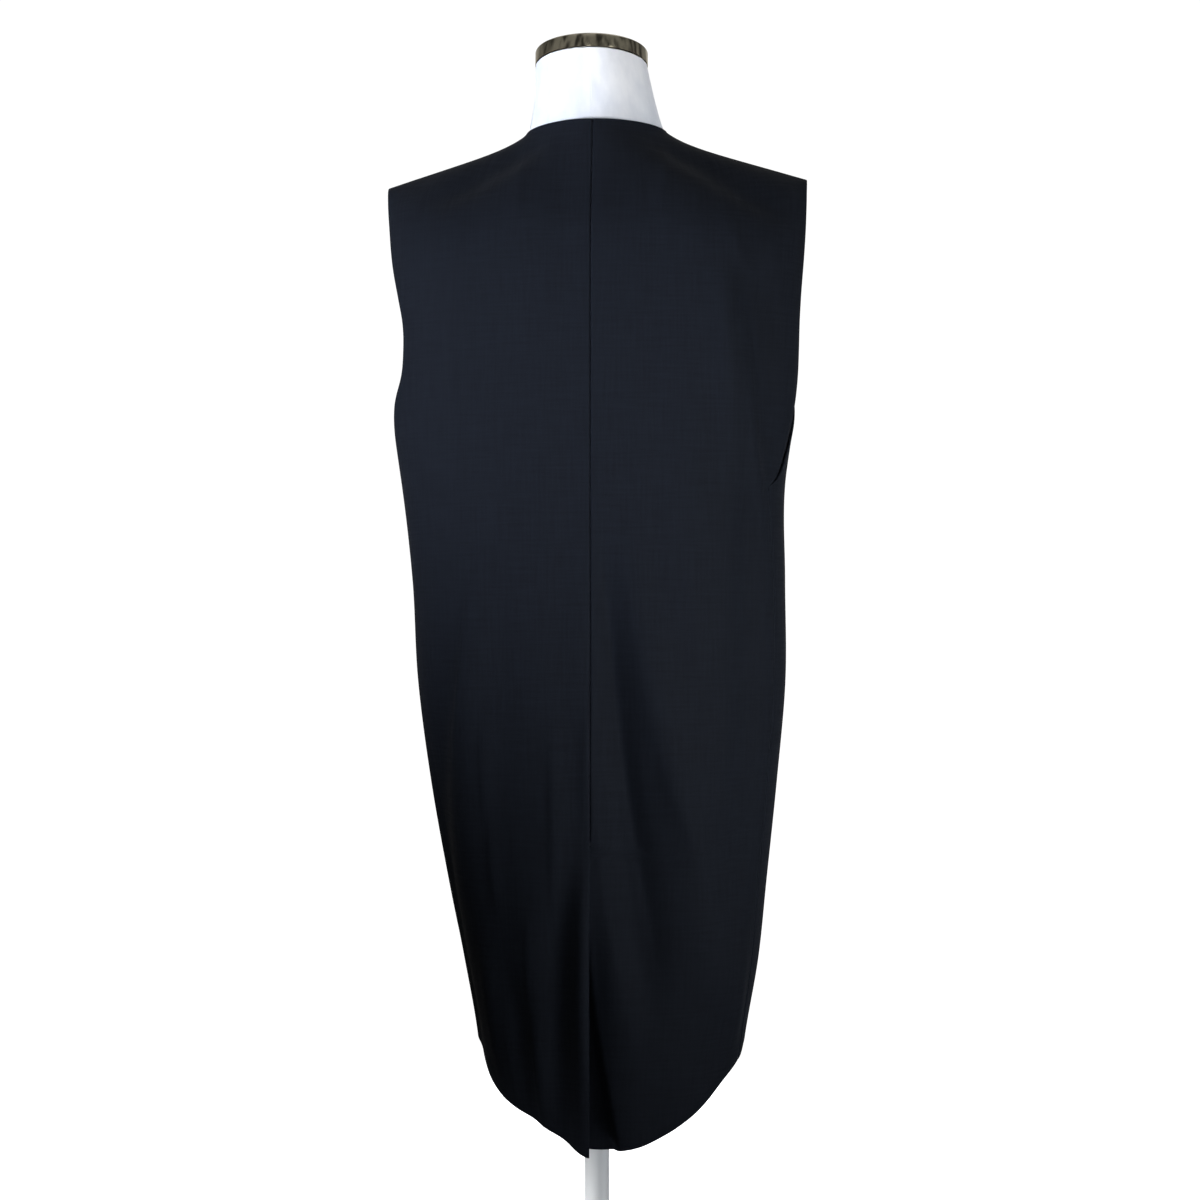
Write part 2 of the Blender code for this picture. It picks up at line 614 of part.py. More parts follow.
def round_edge(radius, z_low, z_high, bevel, count=4):
    """Profile points of a rim with rounded top and bottom corners, from the top down."""
    angles = np.linspace(math.pi / 2, 0, count)
    top = [(radius - bevel + bevel * math.cos(a), z_high - bevel + bevel * math.sin(a)) for a in angles]
    low = [(r, z_low + (z_high - z)) for r, z in reversed(top)]
    return top + low


def add_button(index, height, front_panel, finish, collection, cutters):
    """A dished four-hole button, flat against the outer front on centre front."""
    z = np.float64(height)
    base = plain_cloth(np.float64(math.pi), z)
    lift = float(front_panel.folded(base))
    slope = plain_cloth(np.float64(math.pi), z + 0.01) - plain_cloth(np.float64(math.pi), z - 0.01)
    tilt = math.atan2(slope[1], slope[2])
    name = f"button_{index}"
    rim = round_edge(BUTTON_RADIUS, 0.0, BUTTON_THICK, BUTTON_ROUND, count=2)
    dish = [
        (0.0, BUTTON_THICK - BUTTON_DISH),
        (BUTTON_RADIUS * BUTTON_DISH_SHARE, BUTTON_THICK - BUTTON_DISH),
        (BUTTON_RADIUS * BUTTON_RIM_SHARE, BUTTON_THICK),
    ]
    profile = dish + rim + [(0.0, 0.0)]
    body = turned(name, profile, finish, collection, steps=BUTTON_STEPS)
    body.rotation_euler = (-math.pi / 2 - tilt, 0.0, 0.0)
    stand_off = lift + BUTTON_GAP
    body.location = (0.0, float(base[1]) + stand_off, height)
    for k in range(4):
        angle = math.pi / 4 + k * math.pi / 2
        bpy.ops.mesh.primitive_cylinder_add(
            vertices=6, radius=BUTTON_HOLE_RADIUS, depth=4 * BUTTON_THICK,
            location=(
                BUTTON_HOLE_OFFSET * math.cos(angle), BUTTON_HOLE_OFFSET * math.sin(angle), 0.0
            ),
        )
        cutter = bpy.context.object
        cutter.name = f"{name}_hole_{k + 1}"
        cutter.parent = body
        cutter.hide_render = True
        cutter.display_type = "WIRE"
        for collected in list(cutter.users_collection):
            collected.objects.unlink(cutter)
        cutters.objects.link(cutter)
        hole = body.modifiers.new(f"hole {k + 1}", "BOOLEAN")
        hole.operation = "DIFFERENCE"
        hole.object = cutter
    return body


def form_drop(x):
    """How far below the cloth's shoulder line the form's lies, so that the gap is even square to it."""
    sweep = NECK_SWEEP_RISE / NECK_SWEEP_RUN * np.exp((SIDE_NECK_X - np.abs(x)) / NECK_SWEEP_RUN)
    slope = SHOULDER_SLOPE + np.minimum(sweep, 1.0)
    return (WALL + FORM_GAP) * np.sqrt(1 + slope**2)


def form_half_width(z, half, sign):
    """The ring's half-width: the table's below the shoulder, and the shoulder line's above it."""
    across = np.linspace(FORM_SHOULDER_X, 0.04, 400)
    corner = np.maximum(across - FORM_CORNER_X, 0.0)
    line = shoulder_height(sign * across) - form_drop(across) - FORM_CORNER_ROUND * corner**2
    return float(np.interp(z, line, across)) if z > line[0] else half


def under_cloth(x, z, front):
    """How deep the form may be at a place to the side, to lie inside the cloth."""
    turn = turn_at(x, np.full_like(x, z), front=front)
    reach = np.abs(plain_cloth(turn, np.full_like(x, z) + form_drop(x))[:, 1])
    out = np.abs(x)
    hollow = smooth_step((out - FORM_HOLLOW_X) / FORM_HOLLOW_X)
    share = 1 - (1 - FORM_DEPTH_SHARE) * hollow
    return np.maximum(reach * share - WALL - FORM_GAP, 0.0)


def form_half_ring(level, sign, count):
    """Points of one side of the torso at one level, evenly spaced from centre back to centre front."""
    half = form_half_width(level.z, level.half, sign)
    x = half * np.sin(np.linspace(0, math.pi / 2, FINE + 1))
    section = np.clip(1 - (x / max(level.half, half)) ** FORM_SQUARE, 0, 1) ** (1 / FORM_SQUARE)
    back = np.minimum(level.back * section, under_cloth(sign * x, level.z, False))
    front = np.minimum(level.front * section, under_cloth(sign * x, level.z, True))
    side = np.concatenate([np.stack([x, -back], axis=-1), np.stack([x, front], axis=-1)[::-1][1:]])
    run = np.concatenate([[0], np.cumsum(np.linalg.norm(np.diff(side, axis=0), axis=1))])
    marks = np.linspace(0, run[-1], count + 1)
    return np.column_stack([
        sign * np.interp(marks, run, side[:, 0]),
        np.interp(marks, run, side[:, 1]),
        np.full(count + 1, level.z),
    ])


def form_ring(level, sides):
    """Points round the torso at one level, starting at centre back."""
    right, left = (form_half_ring(level, sign, sides // 2) for sign in (1, -1))
    return np.concatenate([right, left[-2:0:-1]])


def neck_ring(level, sides):
    """Points round the neck at one level: an ellipse, leaning forward and a little to the left."""
    angle = np.linspace(0, 2 * math.pi, sides, endpoint=False)
    depth = np.where(np.cos(angle) > 0, level.back, level.front)
    x = level.half * np.sin(angle)
    y = -depth * np.cos(angle)
    lean = math.radians(level.tilt)
    return np.column_stack([
        x + level.sideways,
        y * math.cos(lean) + level.forward,
        level.z - y * math.sin(lean),
    ])


def add_form_body(finish, collection):
    """Torso and neck in one smooth closed skin, flat at the bottom and at the neck's top."""
    rings = [form_ring(level, FORM_SIDES) for level in TORSO]
    rings += [neck_ring(level, FORM_SIDES) for level in NECK]
    points = np.concatenate(rings)
    count = len(rings)
    faces = []
    for i in range(count - 1):
        for j in range(FORM_SIDES):
            k = (j + 1) % FORM_SIDES
            faces.append([
                i * FORM_SIDES + j, i * FORM_SIDES + k,
                (i + 1) * FORM_SIDES + k, (i + 1) * FORM_SIDES + j,
            ])
    faces.append(list(range(FORM_SIDES))[::-1])
    faces.append(list(range((count - 1) * FORM_SIDES, count * FORM_SIDES)))
    return add_mesh("form_body", points, faces, finish, collection)


def add_neck_cap(finish, collection):
    """Bright metal cap: a straight band under a shallow dome, lying on the neck's leaning top."""
    top = NECK[-1]
    rim = round_edge(CAP_RADIUS, 0.0, CAP_BAND, CAP_EDGE, count=3)
    dome_radius = CAP_RADIUS - CAP_EDGE
    dome = [
        (dome_radius * share, CAP_BAND + CAP_DOME * (1 - share**2))
        for share in np.linspace(0, 1, 5)[:-1]
    ]
    cap = turned("neck_cap", dome + rim + [(0.0, 0.0)], finish, collection)
    lean = Matrix.Rotation(-math.radians(top.tilt), 4, "X")
    seat = Vector((top.sideways, top.forward, top.z)) + lean @ Vector((0, 0, SEAM_GAP))
    cap.location = seat
    cap.rotation_euler = lean.to_euler()
    return cap


def add_stand(finish, collection):
    """Collar under the form, pole, and a round base that it stands in."""
    flange_top = FORM_BOTTOM_Z - SEAM_GAP
    bore = POLE_RADIUS + SEAM_GAP
    collar = [
        (0.0, 0.0),
        (COLLAR_FLANGE_RADIUS, 0.0),
        (COLLAR_FLANGE_RADIUS, -COLLAR_FLANGE),
        (COLLAR_RADIUS, -COLLAR_FLANGE),
        (COLLAR_RADIUS, -COLLAR_DEPTH),
        (bore, -COLLAR_DEPTH),
        (bore, -COLLAR_DEPTH + POLE_INTO_COLLAR + SEAM_GAP),
        (0.0, -COLLAR_DEPTH + POLE_INTO_COLLAR + SEAM_GAP),
    ]
    turned("stand_collar", collar, finish, collection).location.z = flange_top
    pole_low = BASE_CROWN - BASE_SOCKET + SEAM_GAP
    pole_high = flange_top - COLLAR_DEPTH + POLE_INTO_COLLAR
    bpy.ops.mesh.primitive_cylinder_add(
        vertices=32, radius=POLE_RADIUS, depth=pole_high - pole_low,
        location=(0.0, 0.0, (pole_high + pole_low) / 2),
    )
    pole = bpy.context.object
    pole.name = "stand_pole"
    pole.data.shade_smooth()
    pole.data.set_sharp_from_angle(angle=math.radians(40))
    pole.data.materials.append(finish)
    for collected in list(pole.users_collection):
        collected.objects.unlink(pole)
    collection.objects.link(pole)
    crown = [
        (0.0, BASE_CROWN - BASE_SOCKET),
        (bore, BASE_CROWN - BASE_SOCKET),
        (bore, BASE_CROWN),
        (BASE_HUB_RADIUS, BASE_CROWN),
    ]
    sweep = [
        (BASE_HUB_RADIUS + (BASE_RADIUS - BASE_EDGE - BASE_HUB_RADIUS) * t,
         BASE_RIM + (BASE_CROWN - BASE_RIM) * (1 - t) ** 2)
        for t in np.linspace(0, 1, 6)[1:]
    ]
    rim = round_edge(BASE_RADIUS, 0.0, BASE_RIM, BASE_ROUND, count=3)
    turned("stand_base", crown + sweep + rim + [(0.0, 0.0)], finish, collection)


def main():
    """Clears the scene and builds the garment, the form and its stand."""
    for old in list(bpy.data.objects):
        bpy.data.objects.remove(old)
    waistcoat = bpy.data.collections.new("waistcoat on dress form")
    cutters = bpy.data.collections.new("cutters")
    bpy.context.scene.collection.children.link(waistcoat)
    bpy.context.scene.collection.children.link(cutters)

    wool = material("black wool twill", (0.012, 0.014, 0.020), 0.62)
    horn = material("black button", (0.010, 0.010, 0.011), 0.30)
    jersey = material("white jersey cover", (0.86, 0.87, 0.90), 0.80)
    chrome = material("polished chrome", (0.60, 0.58, 0.52), 0.08, 1.0)
    enamel = material("white enamelled steel", (0.84, 0.85, 0.86), 0.35)

    back_cells = NECK_CELLS + SHOULDER_CELLS
    back_left = Panel("back_left", "left", False, back_cells)
    back_right = Panel("back_right", "right", False, back_cells, under=True)
    front_left = Panel("front_left", "left", True, FRONT_CELLS, under=True)
    front_right = Panel("front_right", "right", True, FRONT_CELLS)
    for panel in (back_left, back_right, front_left, front_right):
        add_panel(panel, wool, waistcoat)
    for index, height in enumerate(BUTTON_HEIGHTS, start=1):
        add_button(index, height, front_right, horn, waistcoat, cutters)
    add_form_body(jersey, waistcoat)
    add_neck_cap(chrome, waistcoat)
    add_stand(enamel, waistcoat)


main()
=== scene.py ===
"""The looks of a long black waistcoat worn on a white jersey dress form, seen from behind.

Metres, +Z up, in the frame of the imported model: the wearer faces +Y and +X is the wearer's right, so
the back of the cloth is on -Y, and the origin is on the floor under the middle of the stand.
"""

import logging
import math
from collections import namedtuple
from dataclasses import dataclass, field
from enum import Enum
from typing import Any

import bmesh
import bpy
import numpy as np
from mathutils import Matrix, Vector


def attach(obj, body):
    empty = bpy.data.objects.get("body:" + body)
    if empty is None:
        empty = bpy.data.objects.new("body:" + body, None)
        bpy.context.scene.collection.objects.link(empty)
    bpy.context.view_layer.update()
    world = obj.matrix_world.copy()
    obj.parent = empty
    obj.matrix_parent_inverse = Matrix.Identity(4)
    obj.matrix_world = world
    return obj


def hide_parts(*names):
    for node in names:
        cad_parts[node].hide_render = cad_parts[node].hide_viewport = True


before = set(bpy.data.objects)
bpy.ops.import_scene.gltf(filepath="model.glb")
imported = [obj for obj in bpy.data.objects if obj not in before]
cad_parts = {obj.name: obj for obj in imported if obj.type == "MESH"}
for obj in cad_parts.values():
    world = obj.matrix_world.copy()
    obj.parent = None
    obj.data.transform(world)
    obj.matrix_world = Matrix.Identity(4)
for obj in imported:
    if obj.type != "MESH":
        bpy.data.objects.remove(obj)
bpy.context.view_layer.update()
LOG = logging.getLogger("waistcoat")

Grid = np.ndarray
Point = tuple[float, float]
Rgba = tuple[float, float, float, float]


class Slot(Enum):
    """The record's material slots."""

    WOOL = "wool_twill"
    BUTTON = "button_horn"
    JERSEY = "jersey_cover"
    CAP = "polished_cap"
    STAND = "enamelled_steel"


class Side(Enum):
    """The wearer's side that a piece lies on."""

    LEFT = "left"
    RIGHT = "right"


class Lies(Enum):
    """Where a fold lies."""

    BACK = "over both backs"
    SHOULDER = "along a back's shoulder"
    VENT_LEFT = "on the left back alone, by the vent"
    VENT_RIGHT = "on the right back alone, by the vent"
    FRONT = "over both fronts"


class Edge(Enum):
    """How a cloth's edge is finished."""

    SEAM = "sewn to its neighbour, and pressed"
    FREE = "folded over, and faced"


# ---------------------------------------------------------------------------------------------
# The cut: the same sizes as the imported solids, in metres and degrees
# ---------------------------------------------------------------------------------------------

WALL = 0.0018  # lined wool twill, face to lining
SEAM_GAP = 0.0003
LAYER_GAP = 0.0012  # between a flap and what lies under it
BACK_NECK_Z = 1.453
SHOULDER_TIP_Z = 1.4015
ARMHOLE_LOW_Z = 1.090
VENT_TOP_Z = 0.750
V_LOW_Z = 1.165
V_CURVE = 0.85  # how the V neckline bends; 1 is straight
SIDE_NECK_X = 0.0715
SHOULDER_TIP_X = 0.2125
BACK_NECK_DEPTH = 0.080
VENT_UNDERLAP = 0.036
VENT_LAP_SHARE = 0.17  # the share of the right back, across, that its underlap takes
VENT_DIP = 0.030  # the height over which the right back sinks under the left one
VENT_DIP_ABOVE = 0.012  # the dip starts this far above the vent's top
VENT_STEP = 0.009  # the share of the back's height over which the underlap ends
LAP_HOLD = 0.001  # how far past the upper layer's edge the lower one still keeps under it
LAP_BLEND = 0.016  # the run over which it is then let out
LAP_LIFT = 0.006  # and how far
LAP_ROUND = 0.0005  # how softly it meets that limit
FRONT_OVERLAP = 0.018
SHOULDER_SLOPE = 0.288
SHOULDER_LEAN = 0.012  # the slope from the left shoulder up to the right one
NECK_SWEEP_RISE = 0.0087  # how far the shoulder line sweeps up to the neck, and over what run
NECK_SWEEP_RUN = 0.020
SIDE_NECK_Z = SHOULDER_TIP_Z + SHOULDER_SLOPE * (SHOULDER_TIP_X - SIDE_NECK_X) + NECK_SWEEP_RISE
NECK_ROUNDING = 1.3  # the power of the roll to the back neckline; 2 is a quarter ellipse
NECK_SOFTENS = 0.012  # drop below the neckline over which its corner by the shoulder seam smooths out
SHOULDER_ROUND = 0.110  # the drop over which the cloth rolls over to its top edge

Ring = namedtuple("Ring", "z left right back front square")
RINGS = (
    Ring(0.44, 0.115, 0.140, 0.134, 0.122, 2.15),
    Ring(0.54, 0.120, 0.152, 0.134, 0.126, 2.20),
    Ring(0.62, 0.134, 0.164, 0.133, 0.130, 2.25),
    Ring(0.70, 0.150, 0.172, 0.131, 0.133, 2.30),
    Ring(0.80, 0.168, 0.182, 0.128, 0.136, 2.35),
    Ring(0.90, 0.181, 0.190, 0.126, 0.138, 2.40),
    Ring(1.00, 0.1865, 0.190, 0.124, 0.140, 2.45),
    Ring(1.10, 0.198, 0.190, 0.124, 0.142, 2.50),
    Ring(1.18, 0.2115, 0.203, 0.124, 0.140, 2.50),
    Ring(1.26, 0.2095, 0.2095, 0.124, 0.132, 2.50),
    Ring(1.34, 0.2140, 0.2160, 0.119, 0.116, 2.50),
    Ring(1.40, 0.2185, 0.2185, 0.108, 0.098, 2.50),
    Ring(1.46, 0.2185, 0.2185, 0.098, 0.086, 2.50),
)

Armhole = namedtuple("Armhole", "drop back_left back_right front_left front_right")
ARMHOLE = (
    Armhole(0.000, 75.0, 75.0, 105.0, 105.0),
    Armhole(0.035, 74.0, 75.0, 110.5, 110.5),
    Armhole(0.085, 71.0, 74.5, 114.0, 114.0),
    Armhole(0.120, 66.0, 74.5, 114.0, 115.0),
    Armhole(0.145, 62.5, 75.5, 112.5, 114.5),
    Armhole(0.170, 61.0, 77.5, 110.5, 112.5),
    Armhole(0.200, 62.0, 80.0, 106.5, 107.0),
    Armhole(0.227, 69.5, 80.5, 101.0, 97.5),
    Armhole(0.255, 75.5, 80.0, 94.5, 87.5),
    Armhole(0.279, 79.5, 77.5, 89.0, 80.5),
    Armhole(0.297, 83.0, 72.5, 86.5, 74.5),
    Armhole(0.307, 84.5, 67.0, 85.5, 68.0),
    Armhole(0.3115, 85.0, 63.0, 85.0, 63.0),
)

Seam = namedtuple("Seam", "z left right")
SIDE_SEAM = (
    Seam(0.44, 79.0, 72.0),
    Seam(0.60, 79.0, 70.5),
    Seam(0.76, 80.0, 69.0),
    Seam(0.96, 82.0, 68.0),
    Seam(1.04, 84.0, 66.5),
    Seam(1.09, 85.0, 63.0),
)

Hem = namedtuple("Hem", "share back_left back_right front_left front_right")
HEM = (
    Hem(-0.30, 0.4465, 0.4800, 0.4620, 0.4620),
    Hem(-0.15, 0.4465, 0.4640, 0.4620, 0.4620),
    Hem(0.00, 0.4465, 0.4490, 0.4620, 0.4620),
    Hem(0.14, 0.4600, 0.4500, 0.4630, 0.4630),
    Hem(0.28, 0.4725, 0.4545, 0.4660, 0.4660),
    Hem(0.42, 0.4830, 0.4645, 0.4740, 0.4740),
    Hem(0.56, 0.4940, 0.4775, 0.4900, 0.4900),
    Hem(0.70, 0.5080, 0.4930, 0.5170, 0.5160),
    Hem(0.85, 0.5270, 0.5110, 0.5420, 0.5375),
    Hem(0.92, 0.5350, 0.5175, 0.5450, 0.5310),
    Hem(1.00, 0.5420, 0.5240, 0.5420, 0.5240),
)

# Soft folds: each is a bell across a line that runs down the cloth, given by its x at three heights
Fold = namedtuple("Fold", "name x_top x_mid x_low z_top z_low width_top width_low height")
FOLDS = {
    Lies.BACK: (
        Fold("flute beside centre back", 0.010, 0.030, 0.062, 1.08, 0.54, 0.012, 0.020, -0.008),
        Fold("hip roll", 0.030, 0.084, 0.150, 1.08, 0.50, 0.018, 0.030, 0.007),
        Fold("armhole ridge", 0.122, 0.142, 0.158, 1.34, 1.05, 0.018, 0.015, 0.006),
        Fold("armhole hollow", 0.150, 0.172, 0.182, 1.34, 1.07, 0.019, 0.015, -0.009),
        Fold("hollow behind the right side", 0.150, 0.152, 0.136, 1.16, 0.64, 0.015, 0.016, -0.005),
        Fold("right side roll", 0.174, 0.180, 0.142, 1.10, 0.50, 0.014, 0.014, 0.003),
        Fold("left drag", -0.136, -0.152, -0.110, 1.02, 0.48, 0.012, 0.014, -0.006),
        Fold("left hem drag", -0.082, -0.066, -0.050, 0.64, 0.42, 0.012, 0.014, -0.005),
        Fold("left roll", -0.106, -0.120, -0.086, 1.04, 0.46, 0.018, 0.018, 0.005),
    ),
    Lies.SHOULDER: (
        Fold("left shoulder hollow", -0.042, -0.100, -0.152, 1.441, 1.376, 0.015, 0.015, -0.007),
        Fold("right shoulder hollow", 0.052, 0.120, 0.182, 1.445, 1.364, 0.015, 0.015, -0.008),
    ),
    Lies.VENT_LEFT: (
        Fold("vent edge stands out", -0.004, -0.004, -0.004, 0.75, 0.36, 0.012, 0.014, 0.008),
        Fold("hollow by the vent edge", -0.028, -0.031, -0.028, 0.77, 0.38, 0.012, 0.014, -0.005),
    ),
    Lies.VENT_RIGHT: (
        Fold("vent falls in", 0.000, 0.000, 0.000, 0.74, 0.30, 0.016, 0.026, -0.011),
    ),
    Lies.FRONT: (
        Fold("left front flute", -0.060, -0.078, -0.085, 1.16, 0.40, 0.018, 0.026, 0.006),
        Fold("left front hollow", -0.105, -0.120, -0.115, 1.12, 0.42, 0.016, 0.020, -0.007),
        Fold("right front flute", 0.070, 0.088, 0.102, 1.14, 0.40, 0.020, 0.026, 0.006),
        Fold("right front hollow", 0.112, 0.132, 0.130, 1.18, 0.44, 0.016, 0.020, -0.007),
        Fold("right front drape", 0.044, 0.048, 0.054, 0.90, 0.38, 0.012, 0.015, -0.004),
    ),
}

# Finer creases, on top of the folds. left and right are the half-widths on the line's two sides, so
# that a crease can be steep on one side and gentle on the other.
Crease = namedtuple("Crease", "name x_top x_mid x_low z_top z_low left right height")
CREASES = {
    Lies.BACK: (
        Crease("flute's crisp foot", 0.0070, 0.0335, 0.080, 1.09, 0.56, 0.005, 0.013, -0.0034),
        Crease("crest beside the flute", 0.026, 0.0660, 0.142, 1.05, 0.63, 0.010, 0.026, 0.0030),
        Crease("pull beside the flute", 0.006, 0.018, 0.046, 0.86, 0.56, 0.005, 0.010, -0.0012),
        Crease("first left drag", -0.111, -0.123, -0.136, 1.05, 0.80, 0.006, 0.018, 0.0046),
        Crease("second left drag", -0.103, -0.104, -0.100, 0.89, 0.74, 0.004, 0.010, 0.0018),
        Crease("third left drag", -0.098, -0.096, -0.088, 0.78, 0.66, 0.004, 0.009, 0.0018),
        Crease("drag over the vent", -0.0375, -0.0355, -0.0345, 0.89, 0.63, 0.005, 0.013, 0.0026),
        Crease("drag beside the seam", -0.0045, -0.0050, -0.0065, 0.90, 0.74, 0.004, 0.008, 0.0018),
        Crease("low drag one", -0.061, -0.0605, -0.058, 0.69, 0.57, 0.004, 0.010, 0.0014),
        Crease("low drag two", -0.058, -0.050, -0.040, 0.60, 0.44, 0.006, 0.014, 0.0034),
        Crease("low drag three", -0.107, -0.094, -0.078, 0.67, 0.47, 0.006, 0.013, 0.0034),
        Crease("low drag four", -0.084, -0.077, -0.066, 0.62, 0.46, 0.005, 0.010, 0.0024),
        Crease("upper left pull one", -0.137, -0.136, -0.134, 1.32, 1.06, 0.006, 0.008, 0.0008),
        Crease("upper left pull two", -0.118, -0.118, -0.116, 1.27, 1.12, 0.006, 0.009, 0.0006),
        Crease("upper left pull three", -0.088, -0.090, -0.092, 1.24, 0.98, 0.008, 0.010, 0.0005),
        Crease("armhole's bright roll", 0.140, 0.156, 0.169, 1.25, 1.03, 0.008, 0.005, 0.0022),
        Crease("groove inside the roll", 0.134, 0.1515, 0.160, 1.31, 0.94, 0.012, 0.006, -0.0040),
        Crease("pull across the hollow", 0.166, 0.175, 0.178, 1.25, 1.09, 0.006, 0.005, 0.0016),
        Crease("shoulder blade pull", 0.124, 0.150, 0.176, 1.37, 1.25, 0.012, 0.010, 0.0020),
        Crease("right side crease", 0.156, 0.160, 0.150, 1.00, 0.66, 0.008, 0.008, -0.0020),
    ),
    Lies.VENT_LEFT: (
        Crease("vent hollow's steep side", -0.001, -0.0095, -0.004, 0.775, 0.46, 0.008, 0.010, 0.0038),
    ),
    Lies.FRONT: (
        Crease("left front drag", -0.044, -0.040, -0.036, 0.86, 0.56, 0.006, 0.011, 0.0018),
        Crease("left front side drag", -0.140, -0.146, -0.132, 1.04, 0.62, 0.007, 0.012, -0.0022),
        Crease("left front bust pull", -0.126, -0.112, -0.102, 1.20, 0.98, 0.010, 0.006, 0.0018),
        Crease("left front low drag", -0.082, -0.076, -0.070, 0.72, 0.50, 0.005, 0.010, 0.0018),
        Crease("right front bust drag", 0.120, 0.106, 0.098, 1.24, 1.02, 0.006, 0.012, 0.0020),
        Crease("right front low drag", 0.074, 0.070, 0.066, 0.76, 0.50, 0.006, 0.012, 0.0022),
        Crease("right front mid drag", 0.040, 0.034, 0.030, 0.70, 0.52, 0.006, 0.010, -0.0014),
    ),
}

# Where the cloth turns in sharply: what lies to the left of the edge drops by depth over a short run
Pleat = namedtuple("Pleat", "name x_top x_mid x_low z_top z_low run depth")
PLEATS = {
    Lies.VENT_RIGHT: (
        Pleat("underlap turns in", -0.006, 0.0055, 0.031, 0.72, 0.44, 0.006, 0.012),
    ),
}

# Over which share of its length a fold, crease or pleat grows in at its top and fades out at its foot
FOLD_STARTS = 0.35
FOLD_ENDS = 0.20
CREASE_ENDS = 0.4
PLEAT_STARTS = 0.6
SEAM_FADE_UP = 0.022  # the shares of a piece over which its folds fade towards its seams
SEAM_FADE_ACROSS = 0.12

# The hand of the cloth: long shallow waves, by wavelength across and up, phase and height
HAND_DRIFT = 0.6  # how far they sway sideways, in radians of the wave
Wave = namedtuple("Wave", "across up phase height")
HAND = (
    Wave(0.083, 0.47, 0.3, 0.00042),
    Wave(0.047, 0.31, 1.9, 0.00022),
    Wave(0.029, 0.21, 4.1, 0.00011),
    Wave(0.121, 0.19, 2.7, 0.00030),
)

# Button heights on centre front
BUTTON_HEIGHTS = (1.140, 1.020, 0.900, 0.780)


def flow(stations: Any, values: Any, at: Any) -> Grid:
    """Reads a table as a smooth curve: cubic between rows, with slopes taken from the neighbours.

    Args:
        stations: the rows' places, rising.
        values: the value at each row.
        at: where to read, any shape; outside the table it holds its end values.

    Returns:
        The values there, in the shape of at.
    """
    stations, values = np.asarray(stations, float), np.asarray(values, float)
    at = np.clip(at, stations[0], stations[-1])
    slopes = np.gradient(values, stations)
    i = np.clip(np.searchsorted(stations, at, side="right") - 1, 0, len(stations) - 2)
    step = stations[i + 1] - stations[i]
    t = (at - stations[i]) / step
    return (
        values[i] * (2 * t**3 - 3 * t**2 + 1)
        + values[i + 1] * (3 * t**2 - 2 * t**3)
        + slopes[i] * step * (t**3 - 2 * t**2 + t)
        + slopes[i + 1] * step * (t**3 - t**2)
    )


def column(table: tuple, name: str, at: Any, key: str) -> Grid:
    """Reads one named column of a table.

    Args:
        table: rows of one named tuple.
        name: the column that is read.
        at: where to read it, in the key column's values.
        key: the column that gives the rows' places.

    Returns:
        The smooth curve's values at those places.
    """
    return flow([getattr(row, key) for row in table], [getattr(row, name) for row in table], at)


def smooth_step(share: Any) -> Grid:
    """0 below 0, 1 above 1, and level at both ends."""
    t = np.clip(share, 0.0, 1.0)
    return t * t * (3 - 2 * t)


def runs(points: Grid, axis: int) -> Grid:
    """Distance walked along a grid of points from its first one, along one axis of the grid.

    Args:
        points: a grid of points.
        axis: 0 to walk up the rows, 1 to walk along each row.

    Returns:
        The distance at every point of the grid.
    """
    steps = np.linalg.norm(np.diff(points, axis=axis), axis=-1)
    pad = [(0, 0), (0, 0)]
    pad[axis] = (1, 0)
    return np.cumsum(np.pad(steps, pad), axis=axis)


# ---------------------------------------------------------------------------------------------
# The cloth's form
# ---------------------------------------------------------------------------------------------


def shoulder_height(x: Any) -> Grid:
    """Height of the shoulder's ridge: a straight slope and an exponential sweep up to the neck.

    Args:
        x: sideways places.

    Returns:
        The heights there.
    """
    out = np.abs(x)
    sweep = NECK_SWEEP_RISE * np.exp(np.clip((SIDE_NECK_X - out) / NECK_SWEEP_RUN, -12, 4))
    return SHOULDER_TIP_Z + SHOULDER_SLOPE * (SHOULDER_TIP_X - out) + sweep + SHOULDER_LEAN * x


def roll_over(share: Any, power: Any) -> Grid:
    """How far the cloth has left its top line, 0 to 1: one quarter of a superellipse."""
    q = np.clip(share, 0.0, 1.0)
    return (1 - (1 - q) ** power) ** (1 / power)


def ring_x(turn: Any, z: Any) -> Grid:
    """Sideways place on a superellipse ring: half-width times the sine to the power 2 / square.

    Args:
        turn: radians round from centre back.
        z: heights.

    Returns:
        The sideways places.
    """
    half = np.where(np.sin(turn) >= 0, column(RINGS, "right", z, "z"), column(RINGS, "left", z, "z"))
    power = 2 / column(RINGS, "square", z, "z")
    return half * np.sign(np.sin(turn)) * np.abs(np.sin(turn)) ** power


def turn_at(x: Any, z: Any, front: bool = False) -> Grid:
    """The turn, in radians from centre back, at which the ring of height z reaches x.

    Args:
        x: sideways places.
        z: heights.
        front: whether the front of the ring is meant.

    Returns:
        The turns there.
    """
    half = np.where(x >= 0, column(RINGS, "right", z, "z"), column(RINGS, "left", z, "z"))
    share = np.clip(np.abs(x) / half, 0, 1) ** (column(RINGS, "square", z, "z") / 2)
    turn = np.arcsin(share)
    return np.where(x >= 0, 1, -1) * (math.pi - turn if front else turn)


def top_line(x: Any, behind: Any) -> Grid:
    """Height of the top edge: a parabola for the back neckline, then the shoulder seams.

    Args:
        x: sideways places.
        behind: where the cloth is behind the shoulder seams.

    Returns:
        The heights there.
    """
    share = np.abs(x) / SIDE_NECK_X
    corner = SIDE_NECK_Z + SHOULDER_LEAN * SIDE_NECK_X * np.sign(x)
    neckline = BACK_NECK_Z + (corner - BACK_NECK_Z) * share**2
    return np.where(behind & (share < 1), neckline, shoulder_height(x))


